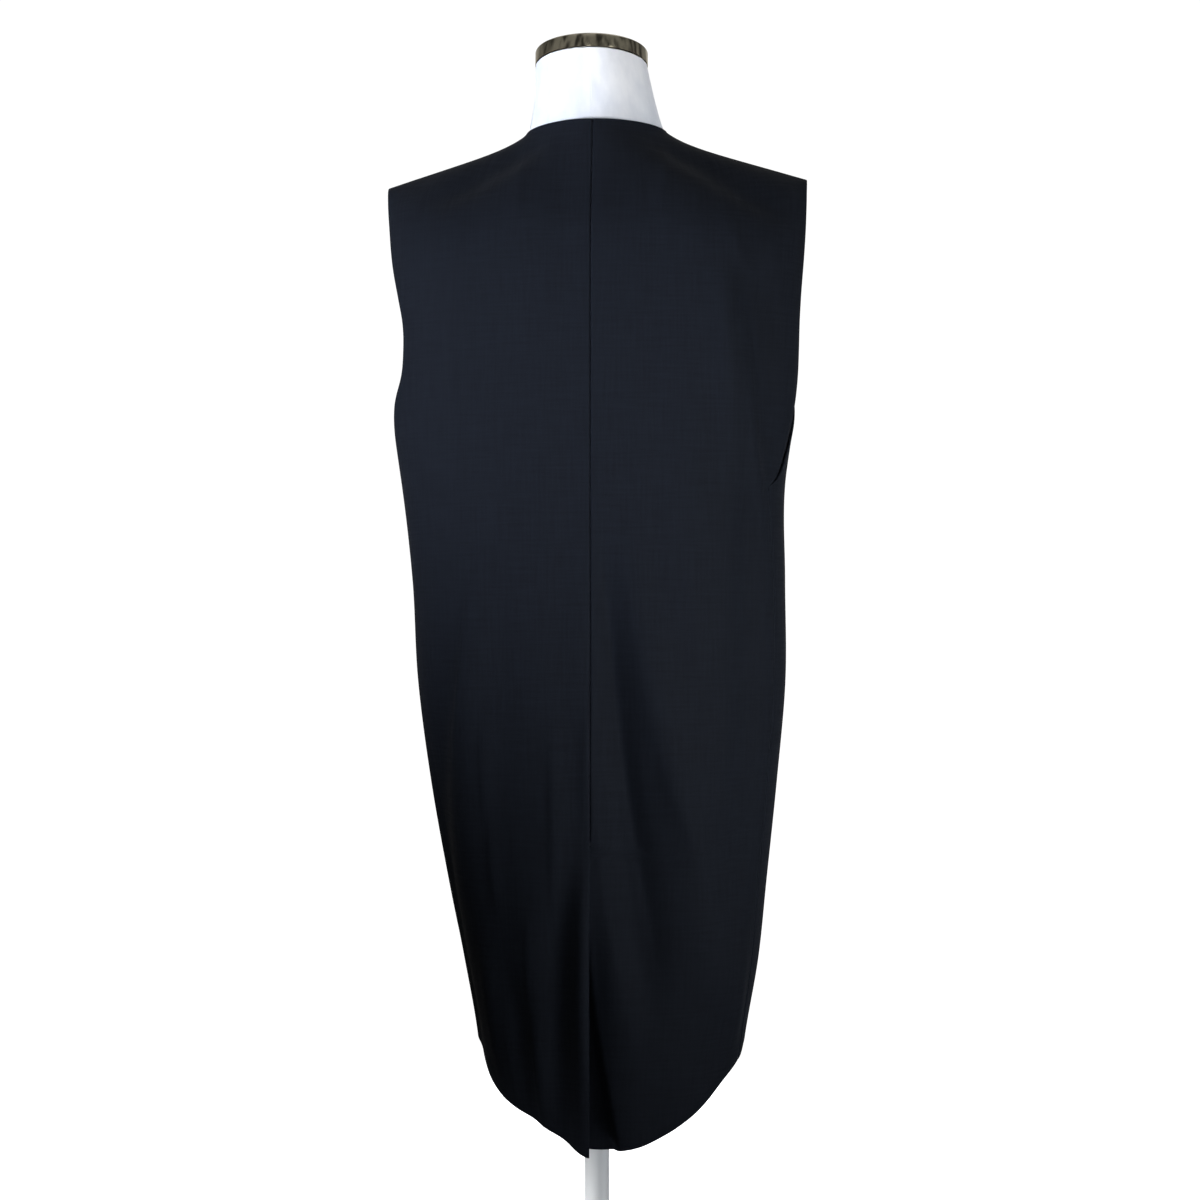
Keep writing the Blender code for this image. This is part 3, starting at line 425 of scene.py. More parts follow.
def plain_cloth(turn: Any, z: Any) -> Grid:
    """The outer face with no folds: superellipse rings that roll over to the shoulders and neckline.

    Args:
        turn: radians round from centre back, towards the wearer's right.
        z: height.

    Returns:
        Points, with x, y and z on the last axis.
    """
    behind = np.cos(turn) > 0
    depth = np.where(behind, column(RINGS, "back", z, "z"), column(RINGS, "front", z, "z"))
    power = 2 / column(RINGS, "square", z, "z")
    x = ring_x(turn, z)
    ring_y = depth * np.abs(np.cos(turn)) ** power
    share = np.clip(np.abs(x) / SIDE_NECK_X, 0, 1)
    on_neck = behind & (share < 1)
    drop = top_line(x, behind) - z
    soft = np.clip(drop, 0.0, NECK_SOFTENS) / NECK_SOFTENS * 1.2
    curve = (np.sqrt(1 - share**2 + soft**2) - soft) / (np.sqrt(1 + soft**2) - soft)
    top_y = np.where(on_neck, BACK_NECK_DEPTH * curve, 0.0)
    rounding = np.where(on_neck, NECK_ROUNDING + (2 - NECK_ROUNDING) * share**2, 2.0)
    y = top_y + (ring_y - top_y) * roll_over(drop / SHOULDER_ROUND, rounding)
    return np.stack([x, np.where(behind, -y, y), z], axis=-1)


def down_line(row: Any, z: Grid) -> tuple[Grid, Grid]:
    """Follows the line of a fold, crease or pleat down the cloth: a smooth curve through three places.

    Args:
        row: the fold, crease or pleat.
        z: heights.

    Returns:
        The share of its length that lies above each height, and the line's x there.
    """
    share = (row.z_top - z) / (row.z_top - row.z_low)
    return share, flow([0.0, 0.5, 1.0], [row.x_top, row.x_mid, row.x_low], share)


def fold_height(fold: Fold, x: Grid, z: Grid) -> Grid:
    """A fold's height: a bell across its line, whose half-width grows downwards, fading at its ends.

    Args:
        fold: the fold.
        x: sideways places on the cloth.
        z: heights, in the same shape.

    Returns:
        How far it moves each point out.
    """
    share, line = down_line(fold, z)
    width = fold.width_top + (fold.width_low - fold.width_top) * np.clip(share, 0, 1)
    ends = smooth_step(share / FOLD_STARTS) * smooth_step((1.0 - share) / FOLD_ENDS)
    return fold.height * ends * np.exp(-(((x - line) / width) ** 2))


def shoulder_fold_height(fold: Fold, x: Grid, z: Grid) -> Grid:
    """A fold that runs along below the shoulder: its bell is measured square to its straight line.

    Args:
        fold: the fold.
        x: sideways places on the cloth.
        z: heights, in the same shape.

    Returns:
        How far it moves each point out.
    """
    along_x, along_z = fold.x_low - fold.x_top, fold.z_low - fold.z_top
    length = math.hypot(along_x, along_z)
    along_x, along_z = along_x / length, along_z / length
    dx, dz = x - fold.x_top, z - fold.z_top
    share = (dx * along_x + dz * along_z) / length
    aside = dx * along_z - dz * along_x
    ends = smooth_step(share / CREASE_ENDS + 0.2) * smooth_step((1.2 - share) / CREASE_ENDS)
    return fold.height * ends * np.exp(-((aside / fold.width_top) ** 2))


def crease_height(crease: Crease, x: Grid, z: Grid) -> Grid:
    """A crease's height: two half bells of unlike widths that meet on its line, fading at its ends.

    Args:
        crease: the crease.
        x: sideways places on the cloth.
        z: heights, in the same shape.

    Returns:
        How far it moves each point out.
    """
    share, line = down_line(crease, z)
    width = np.where(x < line, crease.left, crease.right)
    ends = smooth_step(share / CREASE_ENDS) * smooth_step((1.0 - share) / CREASE_ENDS)
    return crease.height * ends * np.exp(-(((x - line) / width) ** 2))


def pleat_height(pleat: Pleat, x: Grid, z: Grid) -> Grid:
    """A pleat's height: 0 right of its edge, a smooth step down to the left, deeper towards its foot.

    Args:
        pleat: the pleat.
        x: sideways places on the cloth.
        z: heights, in the same shape.

    Returns:
        How far it moves each point out, never above 0.
    """
    share, edge = down_line(pleat, z)
    return -pleat.depth * smooth_step(share / PLEAT_STARTS) * smooth_step((edge - x) / pleat.run)


def hand_of_cloth(x: Grid, z: Grid) -> Grid:
    """Long shallow waves of the cloth: a sum of sines across, each drifting as it goes up.

    Args:
        x: sideways places on the cloth.
        z: heights, in the same shape.

    Returns:
        How far they move each point out.
    """
    total = np.zeros_like(x)
    for wave in HAND:
        drift = HAND_DRIFT * np.sin(2 * math.pi * z / wave.up + wave.phase)
        total = total + wave.height * np.sin(2 * math.pi * x / wave.across + drift + wave.phase)
    return total


def fold_sum(side: Side, front: bool, base: Grid) -> Grid:
    """All the folds, creases and waves in one cloth.

    Args:
        side: the cloth's side, for the folds that only one side of the vent has.
        front: whether the cloth is a front.
        base: points of the plain cloth.

    Returns:
        How far each point moves out.
    """
    x, z = base[..., 0], base[..., 2]
    moved = hand_of_cloth(x, z)
    for lies in (Lies.FRONT,) if front else (Lies.BACK, Lies.SHOULDER, Lies["VENT_" + side.name]):
        bell = shoulder_fold_height if lies is Lies.SHOULDER else fold_height
        for table, height in ((FOLDS, bell), (CREASES, crease_height), (PLEATS, pleat_height)):
            for row in table.get(lies, ()):
                moved = moved + height(row, x, z)
    return moved


def lower_of(one: Grid, other: Grid) -> Grid:
    """The lower of two heights, with the corner between them rounded (a soft minimum)."""
    gap = np.clip(one - other, -20 * LAP_ROUND, 20 * LAP_ROUND)
    return one - LAP_ROUND * np.log1p(np.exp(gap / LAP_ROUND))


# ---------------------------------------------------------------------------------------------
# Meshes
# ---------------------------------------------------------------------------------------------


def grid_faces(rows: int, columns: int, wrap: bool = False, flip: bool = False) -> Grid:
    """Quads between the points of a grid.

    Args:
        rows: rows of points.
        columns: points in a row.
        wrap: whether the last point of a row joins the first.
        flip: turns the faces round.

    Returns:
        One row of four point numbers for each quad.
    """
    i, j = np.meshgrid(np.arange(rows - 1), np.arange(columns if wrap else columns - 1), indexing="ij")
    k = (j + 1) % columns
    quads = np.stack([i * columns + j, i * columns + k, (i + 1) * columns + k, (i + 1) * columns + j], -1)
    quads = quads.reshape(-1, 4)
    return quads[:, ::-1] if flip else quads


def add_mesh(name: str, points: Grid, quads: Grid, finish: Any, uv: Grid | None = None) -> Any:
    """Puts whole arrays of points and quads into a new smooth mesh object.

    Args:
        name: the piece's name.
        points: one row for each point.
        quads: point numbers, four to a face, anticlockwise from outside.
        finish: the material.
        uv: a place on the cloth for each point, in metres.

    Returns:
        The new object.
    """
    mesh = bpy.data.meshes.new(name)
    mesh.vertices.add(len(points))
    mesh.vertices.foreach_set("co", np.asarray(points, np.float32).ravel())
    mesh.loops.add(quads.size)
    mesh.loops.foreach_set("vertex_index", np.asarray(quads, np.int32).ravel())
    mesh.polygons.add(len(quads))
    mesh.polygons.foreach_set("loop_start", np.arange(0, quads.size, 4, dtype=np.int32))
    mesh.update(calc_edges=True)
    if uv is not None:
        layer = mesh.uv_layers.new(name="cloth")
        layer.data.foreach_set("uv", np.asarray(uv, np.float32)[quads.ravel()].ravel())
    mesh.validate()
    mesh.shade_smooth()
    mesh.materials.append(finish)
    made = bpy.data.objects.new(name, mesh)
    bpy.context.scene.collection.objects.link(made)
    return made


def close_up(made: Any, sharp: float = math.radians(50)) -> None:
    """Merges the points that meet at poles and seams, turns all faces out and marks the sharp edges.

    Args:
        made: the piece, which is changed.
        sharp: the angle, in radians, past which an edge is sharp.
    """
    shape = bmesh.new()
    shape.from_mesh(made.data)
    bmesh.ops.remove_doubles(shape, verts=shape.verts, dist=1e-6)
    bmesh.ops.recalc_face_normals(shape, faces=shape.faces)
    shape.to_mesh(made.data)
    shape.free()
    made.data.shade_smooth()
    made.data.set_sharp_from_angle(angle=sharp)


def carried_round(profile: list[Point], steps: int) -> Grid:
    """Carries a profile round Z: x and y are the radius times the angle's cosine and sine.

    Args:
        profile: (radius, height) points.
        steps: points round.

    Returns:
        Points, a row for each of the profile's, with x, y and z on the last axis.
    """
    radius, height = np.array(profile, float).T
    angle = np.linspace(0, 2 * math.pi, steps, endpoint=False)
    x, y = radius[:, None] * np.cos(angle), radius[:, None] * np.sin(angle)
    return np.stack([x, y, np.repeat(height[:, None], steps, 1)], axis=-1)


def turned(name: str, points: Grid, finish: Any, seat: Matrix) -> Any:
    """Makes a turned solid of a grid that was carried round Z.

    Args:
        name: the piece's name.
        points: rows of points, from the top's middle round to the bottom's middle.
        finish: the material.
        seat: where the turned piece's own frame stands.

    Returns:
        The new object.
    """
    faces = grid_faces(points.shape[0], points.shape[1], wrap=True)
    made = add_mesh(name, points.reshape(-1, 3), faces, finish)
    made.data.transform(seat)
    close_up(made)
    return made


def rounded(radius: float, low: float, high: float, bevel: float, count: int = 6) -> list[Point]:
    """Draws the profile of a rim whose top and bottom corners are quarter circles.

    Args:
        radius: the rim's radius.
        low: its lower height.
        high: its upper height.
        bevel: the corners' radius.
        count: points on each corner.

    Returns:
        (radius, height) points, from the top down.
    """
    angle = np.linspace(math.pi / 2, 0, count)
    top = [(radius - bevel + bevel * math.cos(a), high - bevel + bevel * math.sin(a)) for a in angle]
    return top + [(r, low + (high - z)) for r, z in reversed(top)]


# ---------------------------------------------------------------------------------------------
# Finishes
# ---------------------------------------------------------------------------------------------

# How far apart the wave texture's bands lie at scale 1, in metres. Its sine's angle is 20 times the place
# along an axis, or for diagonal bands 10 times the sum of the places.
STRAIGHT_BANDS = 0.314
DIAGONAL_BANDS = 0.444


def linear(colour: str) -> Rgba:
    """Turns an sRGB hex colour into the linear values that a shader takes.

    Args:
        colour: six hex digits.

    Returns:
        Red, green, blue and an alpha of 1.
    """
    parts = [int(colour[i : i + 2], 16) / 255 for i in (0, 2, 4)]
    light = [c / 12.92 if c <= 0.04045 else ((c + 0.055) / 1.055) ** 2.4 for c in parts]
    return (light[0], light[1], light[2], 1.0)


def add_node(tree: Any, kind: str, settings: dict | None = None, links: dict | None = None) -> Any:
    """Adds a node with its settings and links.

    Args:
        tree: the node tree.
        kind: the node's type, without its "ShaderNode".
        settings: values for the node's properties, or for its sockets by name or number.
        links: for a socket's name or number, the output that feeds it.

    Returns:
        The new node.
    """
    node = tree.nodes.new("ShaderNode" + kind)
    for key, value in (settings or {}).items():
        if isinstance(key, int) or key in node.inputs:
            node.inputs[key].default_value = value
        else:
            setattr(node, key, value)
    for key, source in (links or {}).items():
        tree.links.new(source, node.inputs[key])
    return node


def new_material(name: str, settings: dict[str, Any]) -> tuple[Any, Any, Any]:
    """Makes a material with a Principled shader.

    Args:
        name: the material's name.
        settings: values for the shader's sockets, by name.

    Returns:
        The material, its node tree and its shader.
    """
    made = bpy.data.materials.new(name)
    made.use_nodes = True
    shader = made.node_tree.nodes["Principled BSDF"]
    for socket, value in settings.items():
        shader.inputs[socket].default_value = value
    return made, made.node_tree, shader


def lay_on(
    tree: Any, shader: Any, colours: tuple[str, str], tone: Any, relief: Any, bump: tuple[float, float],
    rough: Any = None,
) -> None:
    """Wires a finish into its shader: two colours that a tone mixes, a relief and a roughness.

    Args:
        tree: the material's node tree.
        shader: its Principled shader.
        colours: the hex colours where the tone is 0 and where it is 1.
        tone: the output that mixes them.
        relief: the output that gives the surface's height.
        bump: the relief's strength, and its depth in metres.
        rough: the output that gives the roughness, where it varies.
    """
    low, high = (linear(colour) for colour in colours)
    colour = add_node(tree, "Mix", {"data_type": "RGBA", 6: low, 7: high}, {0: tone})
    tree.links.new(colour.outputs[2], shader.inputs["Base Color"])
    raised = add_node(tree, "Bump", {"Strength": bump[0], "Distance": bump[1]}, {"Height": relief})
    tree.links.new(raised.outputs[0], shader.inputs["Normal"])
    if rough is not None:
        tree.links.new(rough, shader.inputs["Roughness"])


@dataclass(frozen=True)
class WoolTwill:
    """Worsted wool twill, piece-dyed blue-black, pressed flat with a clear-cut face.

    It gives the eye a matt near-black that turns bluish in the light, a fine diagonal rib, and faint
    streaks where single yarns are thicker; where they are thin and the relief lies low, the colour is
    painted darker as shade. Loose fibre ends give a soft sheen at grazing angles.
    """

    name: str = "worsted_wool_twill"
    yarn: str = "191c22"
    sunk_yarn_painted_shade: str = "16181d"  # where the yarns are thin and lie lower: painted shade, darker wherever the relief is low
    sheen: str = "8e9ab4"
    sheen_weight: float = 0.014
    rib_mm: float = 1.5  # the real rib is 0.6 mm, too fine for the picture, so it is drawn coarser
    rib_share: float = 0.6  # of the relief
    slub_mm: float = 2.4
    slub_length_mm: float = 45.0
    fibre_scale: float = 900.0  # clumps of fibre ends, about 1.1 mm, drawn coarser than they are
    fibre_share: float = 0.8
    tone_span: tuple[float, float] = (1.05, 1.75)  # of the summed noises, the part that shows
    specular: float = 0.08
    rough: tuple[float, float] = (0.78, 0.66)
    bump: tuple[float, float] = (0.26, 0.00022)  # strength, and depth in metres

    def make(self) -> Any:
        """Makes the material, whose pattern follows the cloth's own map in metres.

        Returns:
            The new material.
        """
        made, tree, shader = new_material(self.name, {
            "Specular IOR Level": self.specular, "Sheen Weight": self.sheen_weight,
            "Sheen Roughness": 0.45, "Sheen Tint": linear(self.sheen),
        })
        place = add_node(tree, "UVMap", {"uv_map": "cloth"}).outputs["UV"]
        rib = add_node(tree, "TexWave", {
            "bands_direction": "DIAGONAL", "Scale": 1000 * DIAGONAL_BANDS / self.rib_mm,
            "Distortion": 0.6, "Detail": 2.0, "Detail Scale": 3.0,
        }, {"Vector": place})
        thick, long = 1000 / self.slub_mm, 1000 / self.slub_length_mm
        yarns = []
        for scale in ((thick, long, 1.0), (long, thick, 1.0)):  # the warp's slubs, then the weft's
            laid = add_node(tree, "Mapping", {"Scale": scale}, {"Vector": place})
            slubs = add_node(tree, "TexNoise", {"Scale": 1.0, "Detail": 3.0}, {"Vector": laid.outputs[0]})
            yarns.append(slubs.outputs["Fac"])
        both = add_node(tree, "Math", {"operation": "ADD"}, {0: yarns[0], 1: yarns[1]})
        fibre = add_node(tree, "TexNoise", {"Scale": self.fibre_scale, "Detail": 2.0}, {"Vector": place})
        grain = add_node(tree, "Math", {"operation": "MULTIPLY_ADD", 1: self.fibre_share}, {
            0: fibre.outputs["Fac"], 2: both.outputs[0]
        }).outputs[0]
        span = {"From Min": self.tone_span[0], "From Max": self.tone_span[1]}
        # the same noise raises the relief and lightens the colour, so the low yarns carry a painted shade
        # besides the slubs' own tone
        tone = add_node(tree, "MapRange", span, {"Value": grain})
        rough = add_node(tree, "MapRange", {
            **span, "To Min": self.rough[0], "To Max": self.rough[1],
        }, {"Value": grain})
        relief = add_node(tree, "Math", {"operation": "MULTIPLY_ADD", 1: self.rib_share}, {
            0: rib.outputs["Fac"], 2: grain
        })
        lay_on(
            tree, shader, (self.sunk_yarn_painted_shade, self.yarn), tone.outputs[0], relief.outputs[0], self.bump,
            rough.outputs[0],
        )
        return made


@dataclass(frozen=True)
class HornButton:
    """Buffalo-horn button, turned and tumbled to a satin shine, near black with brown-grey streaks."""

    name: str = "tumbled_buffalo_horn"
    dark: str = "141313"
    streak: str = "2e2825"
    streak_mm: float = 2.2
    stretch: float = 6.25  # a streak's length, in its widths
    lie: float = 25.0  # degrees that the streaks slope
    ior: float = 1.55  # of keratin
    coat: float = 0.25
    rough: tuple[float, float] = (0.26, 0.42)
    bump: tuple[float, float] = (0.15, 0.0001)

    def make(self) -> Any:
        """Makes the material: stretched noise for the growth streaks.

        Returns:
            The new material.
        """
        made, tree, shader = new_material(self.name, {
            "IOR": self.ior, "Coat Weight": self.coat, "Coat Roughness": 0.18,
        })
        wide = 1000 / self.streak_mm
        stretched = add_node(tree, "Mapping", {
            "Scale": (wide, wide, wide / self.stretch), "Rotation": (0.0, math.radians(self.lie), 0.0),
        }, {"Vector": add_node(tree, "TexCoord").outputs["Object"]})
        streaks = add_node(tree, "TexNoise", {"Scale": 0.45, "Detail": 4.0}, {
            "Vector": stretched.outputs[0]
        }).outputs["Fac"]
        tone = add_node(tree, "MapRange", {"From Min": 0.42, "From Max": 0.72}, {"Value": streaks})
        rough = add_node(tree, "MapRange", {"To Min": self.rough[0], "To Max": self.rough[1]}, {
            "Value": streaks
        })
        lay_on(
            tree, shader, (self.dark, self.streak), tone.outputs[0], streaks, self.bump, rough.outputs[0]
        )
        return made


@dataclass(frozen=True)
class PolyesterThread:
    """Black spun-polyester buttonhole thread: two plies twisted, with a slight shine."""

    name: str = "spun_polyester_thread"
    dark: str = "121317"
    lit: str = "262932"
    twist_mm: float = 0.9
    rough: float = 0.5
    bump: tuple[float, float] = (0.5, 0.0001)

    def make(self) -> Any:
        """Makes the material: a diagonal wave for the twist.

        Returns:
            The new material.
        """
        made, tree, shader = new_material(self.name, {"Roughness": self.rough, "Sheen Weight": 0.1})
        twist = add_node(tree, "TexWave", {
            "bands_direction": "DIAGONAL", "Scale": 1000 * DIAGONAL_BANDS / self.twist_mm,
        }, {"Vector": add_node(tree, "TexCoord").outputs["Object"]}).outputs["Fac"]
        lay_on(tree, shader, (self.dark, self.lit), twist, twist, self.bump)
        return made


@dataclass(frozen=True)
class CottonJersey:
    """White cotton jersey, knitted fine and stretched over padding: smooth and matt, faintly ribbed."""

    name: str = "stretched_cotton_jersey"
    white: str = "f2f3f5"
    shade: str = "e6e8ec"
    wale_mm: float = 1.4  # the real wales are 0.8 mm apart; drawn coarser so that they show
    course_share: float = 0.6  # of the wales' relief
    cloud_mm: float = 40.0
    rough: float = 0.85
    bump: tuple[float, float] = (0.25, 0.0002)

    def make(self) -> Any:
        """Makes the material: waves for the upright wales and the courses across them.

        Returns:
            The new material.
        """
        made, tree, shader = new_material(self.name, {
            "Roughness": self.rough, "Specular IOR Level": 0.25, "Sheen Weight": 0.1,
            "Sheen Roughness": 0.5,
        })
        place = {"Vector": add_node(tree, "UVMap", {"uv_map": "cloth"}).outputs["UV"]}
        scale = 1000 * STRAIGHT_BANDS / self.wale_mm
        wales = add_node(tree, "TexWave", {"bands_direction": "X", "Scale": scale}, place)
        courses = add_node(
            tree, "TexWave", {"bands_direction": "Y", "Scale": scale, "Distortion": 0.5}, place
        )
        loops = add_node(tree, "Math", {"operation": "MULTIPLY_ADD", 1: self.course_share}, {
            0: courses.outputs["Fac"], 2: wales.outputs["Fac"]
        })
        cloud = add_node(tree, "TexNoise", {"Scale": 1000 / self.cloud_mm, "Detail": 3.0}, place)
        tone = add_node(tree, "MapRange", {"From Min": 0.35, "From Max": 0.6}, {
            "Value": cloud.outputs["Fac"]
        })
        lay_on(tree, shader, (self.shade, self.white), tone.outputs[0], loops.outputs[0], self.bump)
        return made


@dataclass(frozen=True)
class PolishedChrome:
    """Chromium plate over spun brass, polished: mirror-bright, with fine turning lines and a faint haze."""

    name: str = "polished_chrome_plate"
    bright: str = "cfcabf"
    haze: str = "a8a397"
    line_mm: float = 0.9  # the real turning lines are 0.2 mm apart; drawn coarser so that they show
    haze_scale: float = 30.0  # clouds of about 33 mm
    haze_span: tuple[float, float] = (0.35, 0.7)  # of the noise, the part that shows
    rough: tuple[float, float] = (0.06, 0.16)
    bump: tuple[float, float] = (0.04, 0.0001)

    def make(self) -> Any:
        """Makes the material: rings of turning lines and clouds of handling haze.

        Returns:
            The new material.
        """
        made, tree, shader = new_material(self.name, {"Metallic": 1.0})
        place = {"Vector": add_node(tree, "TexCoord").outputs["Object"]}
        cloud = add_node(tree, "TexNoise", {"Scale": self.haze_scale, "Detail": 4.0}, place)
        value = {"Value": cloud.outputs["Fac"]}
        span = {"From Min": self.haze_span[0], "From Max": self.haze_span[1]}
        tone = add_node(tree, "MapRange", span, value)
        rough = add_node(tree, "MapRange", {
            **span, "To Min": self.rough[0], "To Max": self.rough[1],
        }, value)
        lines = add_node(tree, "TexWave", {
            "bands_direction": "Z", "Scale": 1000 * STRAIGHT_BANDS / self.line_mm, "Distortion": 1.0,
        }, place)
        lay_on(
            tree, shader, (self.bright, self.haze), tone.outputs[0], lines.outputs["Fac"], self.bump,
            rough.outputs[0],
        )
        return made


@dataclass(frozen=True)
class WhiteEnamel:
    """Baked white enamel on steel: satin, with the orange-peel ripple of a sprayed coat."""

    name: str = "sprayed_white_enamel"
    white: str = "e9eaeb"
    worn: str = "dcddde"
    ripple_mm: float = 2.5
    cloud_scale: float = 12.0  # clouds of about 83 mm
    coat: float = 0.3
    rough: tuple[float, float] = (0.26, 0.40)
    bump: tuple[float, float] = (0.12, 0.0002)

    def make(self) -> Any:
        """Makes the material: soft noise for the ripple and a faint change of tone.

        Returns:
            The new material.
        """
        made, tree, shader = new_material(self.name, {"Coat Weight": self.coat, "Coat Roughness": 0.15})
        place = {"Vector": add_node(tree, "TexCoord").outputs["Object"]}
        ripple = add_node(tree, "TexNoise", {"Scale": 1000 / self.ripple_mm, "Detail": 1.0}, place)
        cloud = add_node(tree, "TexNoise", {"Scale": self.cloud_scale, "Detail": 4.0}, place)
        tone = cloud.outputs["Fac"]
        rough = add_node(tree, "MapRange", {"To Min": self.rough[0], "To Max": self.rough[1]}, {
            "Value": tone
        })
        lay_on(
            tree, shader, (self.white, self.worn), tone, ripple.outputs["Fac"], self.bump, rough.outputs[0]
        )
        return made


# ---------------------------------------------------------------------------------------------
# The waistcoat
# ---------------------------------------------------------------------------------------------


@dataclass
class Panel:
    """One cut piece of the cloth: a patch across from its inner to its outer edge, and up from the hem.

    across is 0 at centre back or centre front and 1 at the side seam, armhole and shoulder tip.
    up is 0 at the hem and 1 at the shoulder seam and the back neckline.
    """

    node: str
    side: Side
    front: bool
    flat: tuple[float, float]
    area: float
    under: bool = False
    cell_across: float = 0.0032
    cell_up: float = 0.0046
    edge_offsets: tuple[float, ...] = (0.0, 0.00015, 0.0004, 0.0007, 0.0011, 0.0016, 0.0026)
    seam_round: float = 0.0021
    seam_sink: float = 0.0024
    fold_round: float = 0.0011
    rim: float = 0.0003  # what is left of the wall at a folded edge
    rim_share: float = 0.45  # of the last cell, the most that the rim moves in
    lap_fade: float = 0.8  # the share of the vent over which the underlap's own hem line fades
    sign: int = field(init=False)

    def __post_init__(self) -> None:
        """Works out which way round the body this piece goes."""
        self.sign = 1 if self.side is Side.RIGHT else -1

    def vent_share(self) -> float:
        """How far up a back piece the vent reaches."""
        hem = float(column(HEM, "back_" + self.side.value, np.float64(0.0), "share"))
        return (VENT_TOP_Z - hem) / (BACK_NECK_Z - hem)

    def hem(self, across: Grid, up: Grid) -> Grid:
        """The hem's height below a point; the underlap's own rise fades out up the vent.

        Args:
            across: 0 at the inner edge, 1 at the outer one.
            up: 0 at the hem, 1 at the top.

        Returns:
            The hem's height for each point.
        """
        if self.front:
            return column(HEM, "front_" + self.side.value, across, "share")
        if not self.under:
            return column(HEM, "back_left", across, "share")
        share = (across - VENT_LAP_SHARE) / (1 - VENT_LAP_SHARE)
        panel = column(HEM, "back_right", np.maximum(share, 0.0), "share")
        lap = column(HEM, "back_right", share, "share")
        return panel + (lap - panel) * smooth_step(1 - up / (self.lap_fade * self.vent_share()))

    def top(self, across: Grid) -> Grid:
        """Height of the top edge, found in a few steps because the rings widen with height.

        Args:
            across: 0 at the inner edge, 1 at the outer one.

        Returns:
            The top edge's height for each point.
        """
        tip = math.radians(ARMHOLE[0].back_left)
        inner = 0.0
        if self.front:
            inner = float(turn_at(np.float64(SIDE_NECK_X), np.float64(SIDE_NECK_Z), front=True))
            tip = math.pi - tip
        turn = inner + (tip - inner) * across
        z = np.full_like(across, SIDE_NECK_Z)
        for _ in range(5):
            z = top_line(ring_x(self.sign * turn, z), not self.front)
        return z

    def outer_turn(self, z: Grid) -> Grid:
        """Side seam, then the armhole's edge up to the shoulder tip.

        Args:
            z: heights.

        Returns:
            The edge's turn, in radians round from centre back.
        """
        name = ("front_" if self.front else "back_") + self.side.value
        edge = column(ARMHOLE, name, SHOULDER_TIP_Z - z, "drop")
        seam = column(SIDE_SEAM, self.side.value, z, "z")
        return np.radians(np.where(z < ARMHOLE_LOW_Z + 1e-9, seam, edge))

    def inner_turn(self, up: Grid, z: Grid) -> Grid:
        """Centre back with the vent's underlap, or the front edge and the neckline above it.

        Args:
            up: 0 at the hem, 1 at the top.
            z: the edge's heights there.

        Returns:
            The edge's turn, in radians round from centre back.
        """
        if self.front:
            climb = np.clip((z - V_LOW_Z) / (SIDE_NECK_Z - V_LOW_Z), 0, 1) ** V_CURVE
            x = -FRONT_OVERLAP + (SIDE_NECK_X + FRONT_OVERLAP) * climb
            turn = turn_at(x, z, front=True)
            return np.where(turn < 0, 2 * math.pi + turn, turn)
        if not self.under:
            return np.zeros_like(up)
        lap = 1 - smooth_step((up - self.vent_share() + 2 * VENT_STEP) / VENT_STEP)
        return turn_at(-VENT_UNDERLAP * lap - 1e-12, z)

    def place(self, across: Grid, up: Grid) -> tuple[Grid, Grid]:
        """Turn and height at any point of the patch.

        Args:
            across: 0 at the inner edge, 1 at the outer one.
            up: 0 at the hem, 1 at the top.

        Returns:
            Radians round the body, positive to the wearer's right, and heights.
        """
        low, high = self.hem(across, up), self.top(across)
        z = low + (high - low) * up
        edge_low = self.hem(np.ones_like(up), up)
        edge_z = edge_low + (SHOULDER_TIP_Z - edge_low) * up
        start = np.zeros_like(up)
        start_low, start_high = self.hem(start, up), self.top(start)
        start_z = start_low + (start_high - start_low) * up
        inner, outer = self.inner_turn(up, start_z), self.outer_turn(edge_z)
        return self.sign * (inner + (outer - inner) * across), z

    def base(self, across: Grid, up: Grid) -> Grid:
        """Points of the plain cloth, before its folds."""
        return plain_cloth(*self.place(across, up))

    def cells(self, length: float, cell: float) -> int:
        """How many even cells of about the wanted size lie between the two ends of a run."""
        return max(2, round((length - 2 * self.edge_offsets[-1]) / cell))

    def marks(self, length: float, cells: int) -> Grid:
        """Places along a run: close together at both ends, even between.

        Args:
            length: the run's length.
            cells: how many even cells lie between the ends.

        Returns:
            Distances from the run's start.
        """
        ends = np.array(self.edge_offsets)
        middle = np.linspace(ends[-1], length - ends[-1], cells + 1)
        return np.concatenate([ends[:-1], middle, length - ends[-2::-1]])

    def grid(self) -> tuple[Grid, Grid]:
        """Spaces the grid: rows by distance up the middle, points by distance along each row.

        Returns:
            across and up for every point.
        """
        dense = 1 - np.linspace(1, 0, 4001) ** 2  # closest together at the top, where the cloth rolls over
        fine_up = np.unique(np.concatenate([np.linspace(0, 0.8, 401), 0.8 + 0.2 * dense]))
        walked = runs(self.base(np.full_like(fine_up, 0.5), fine_up)[:, None], 0)[:, 0]
        rows = self.marks(walked[-1], self.cells(walked[-1], self.cell_up))
        up = np.interp(rows, walked, fine_up)
        fine = np.linspace(0, 1, 321)
        walked = runs(self.base(*np.meshgrid(fine, up)), 1)
        cells = self.cells(1.0, self.cell_across / walked[:, -1].max())
        across = np.stack([np.interp(self.marks(run[-1], cells), run, fine) for run in walked])
        return across, np.repeat(up[:, None], across.shape[1], axis=1)

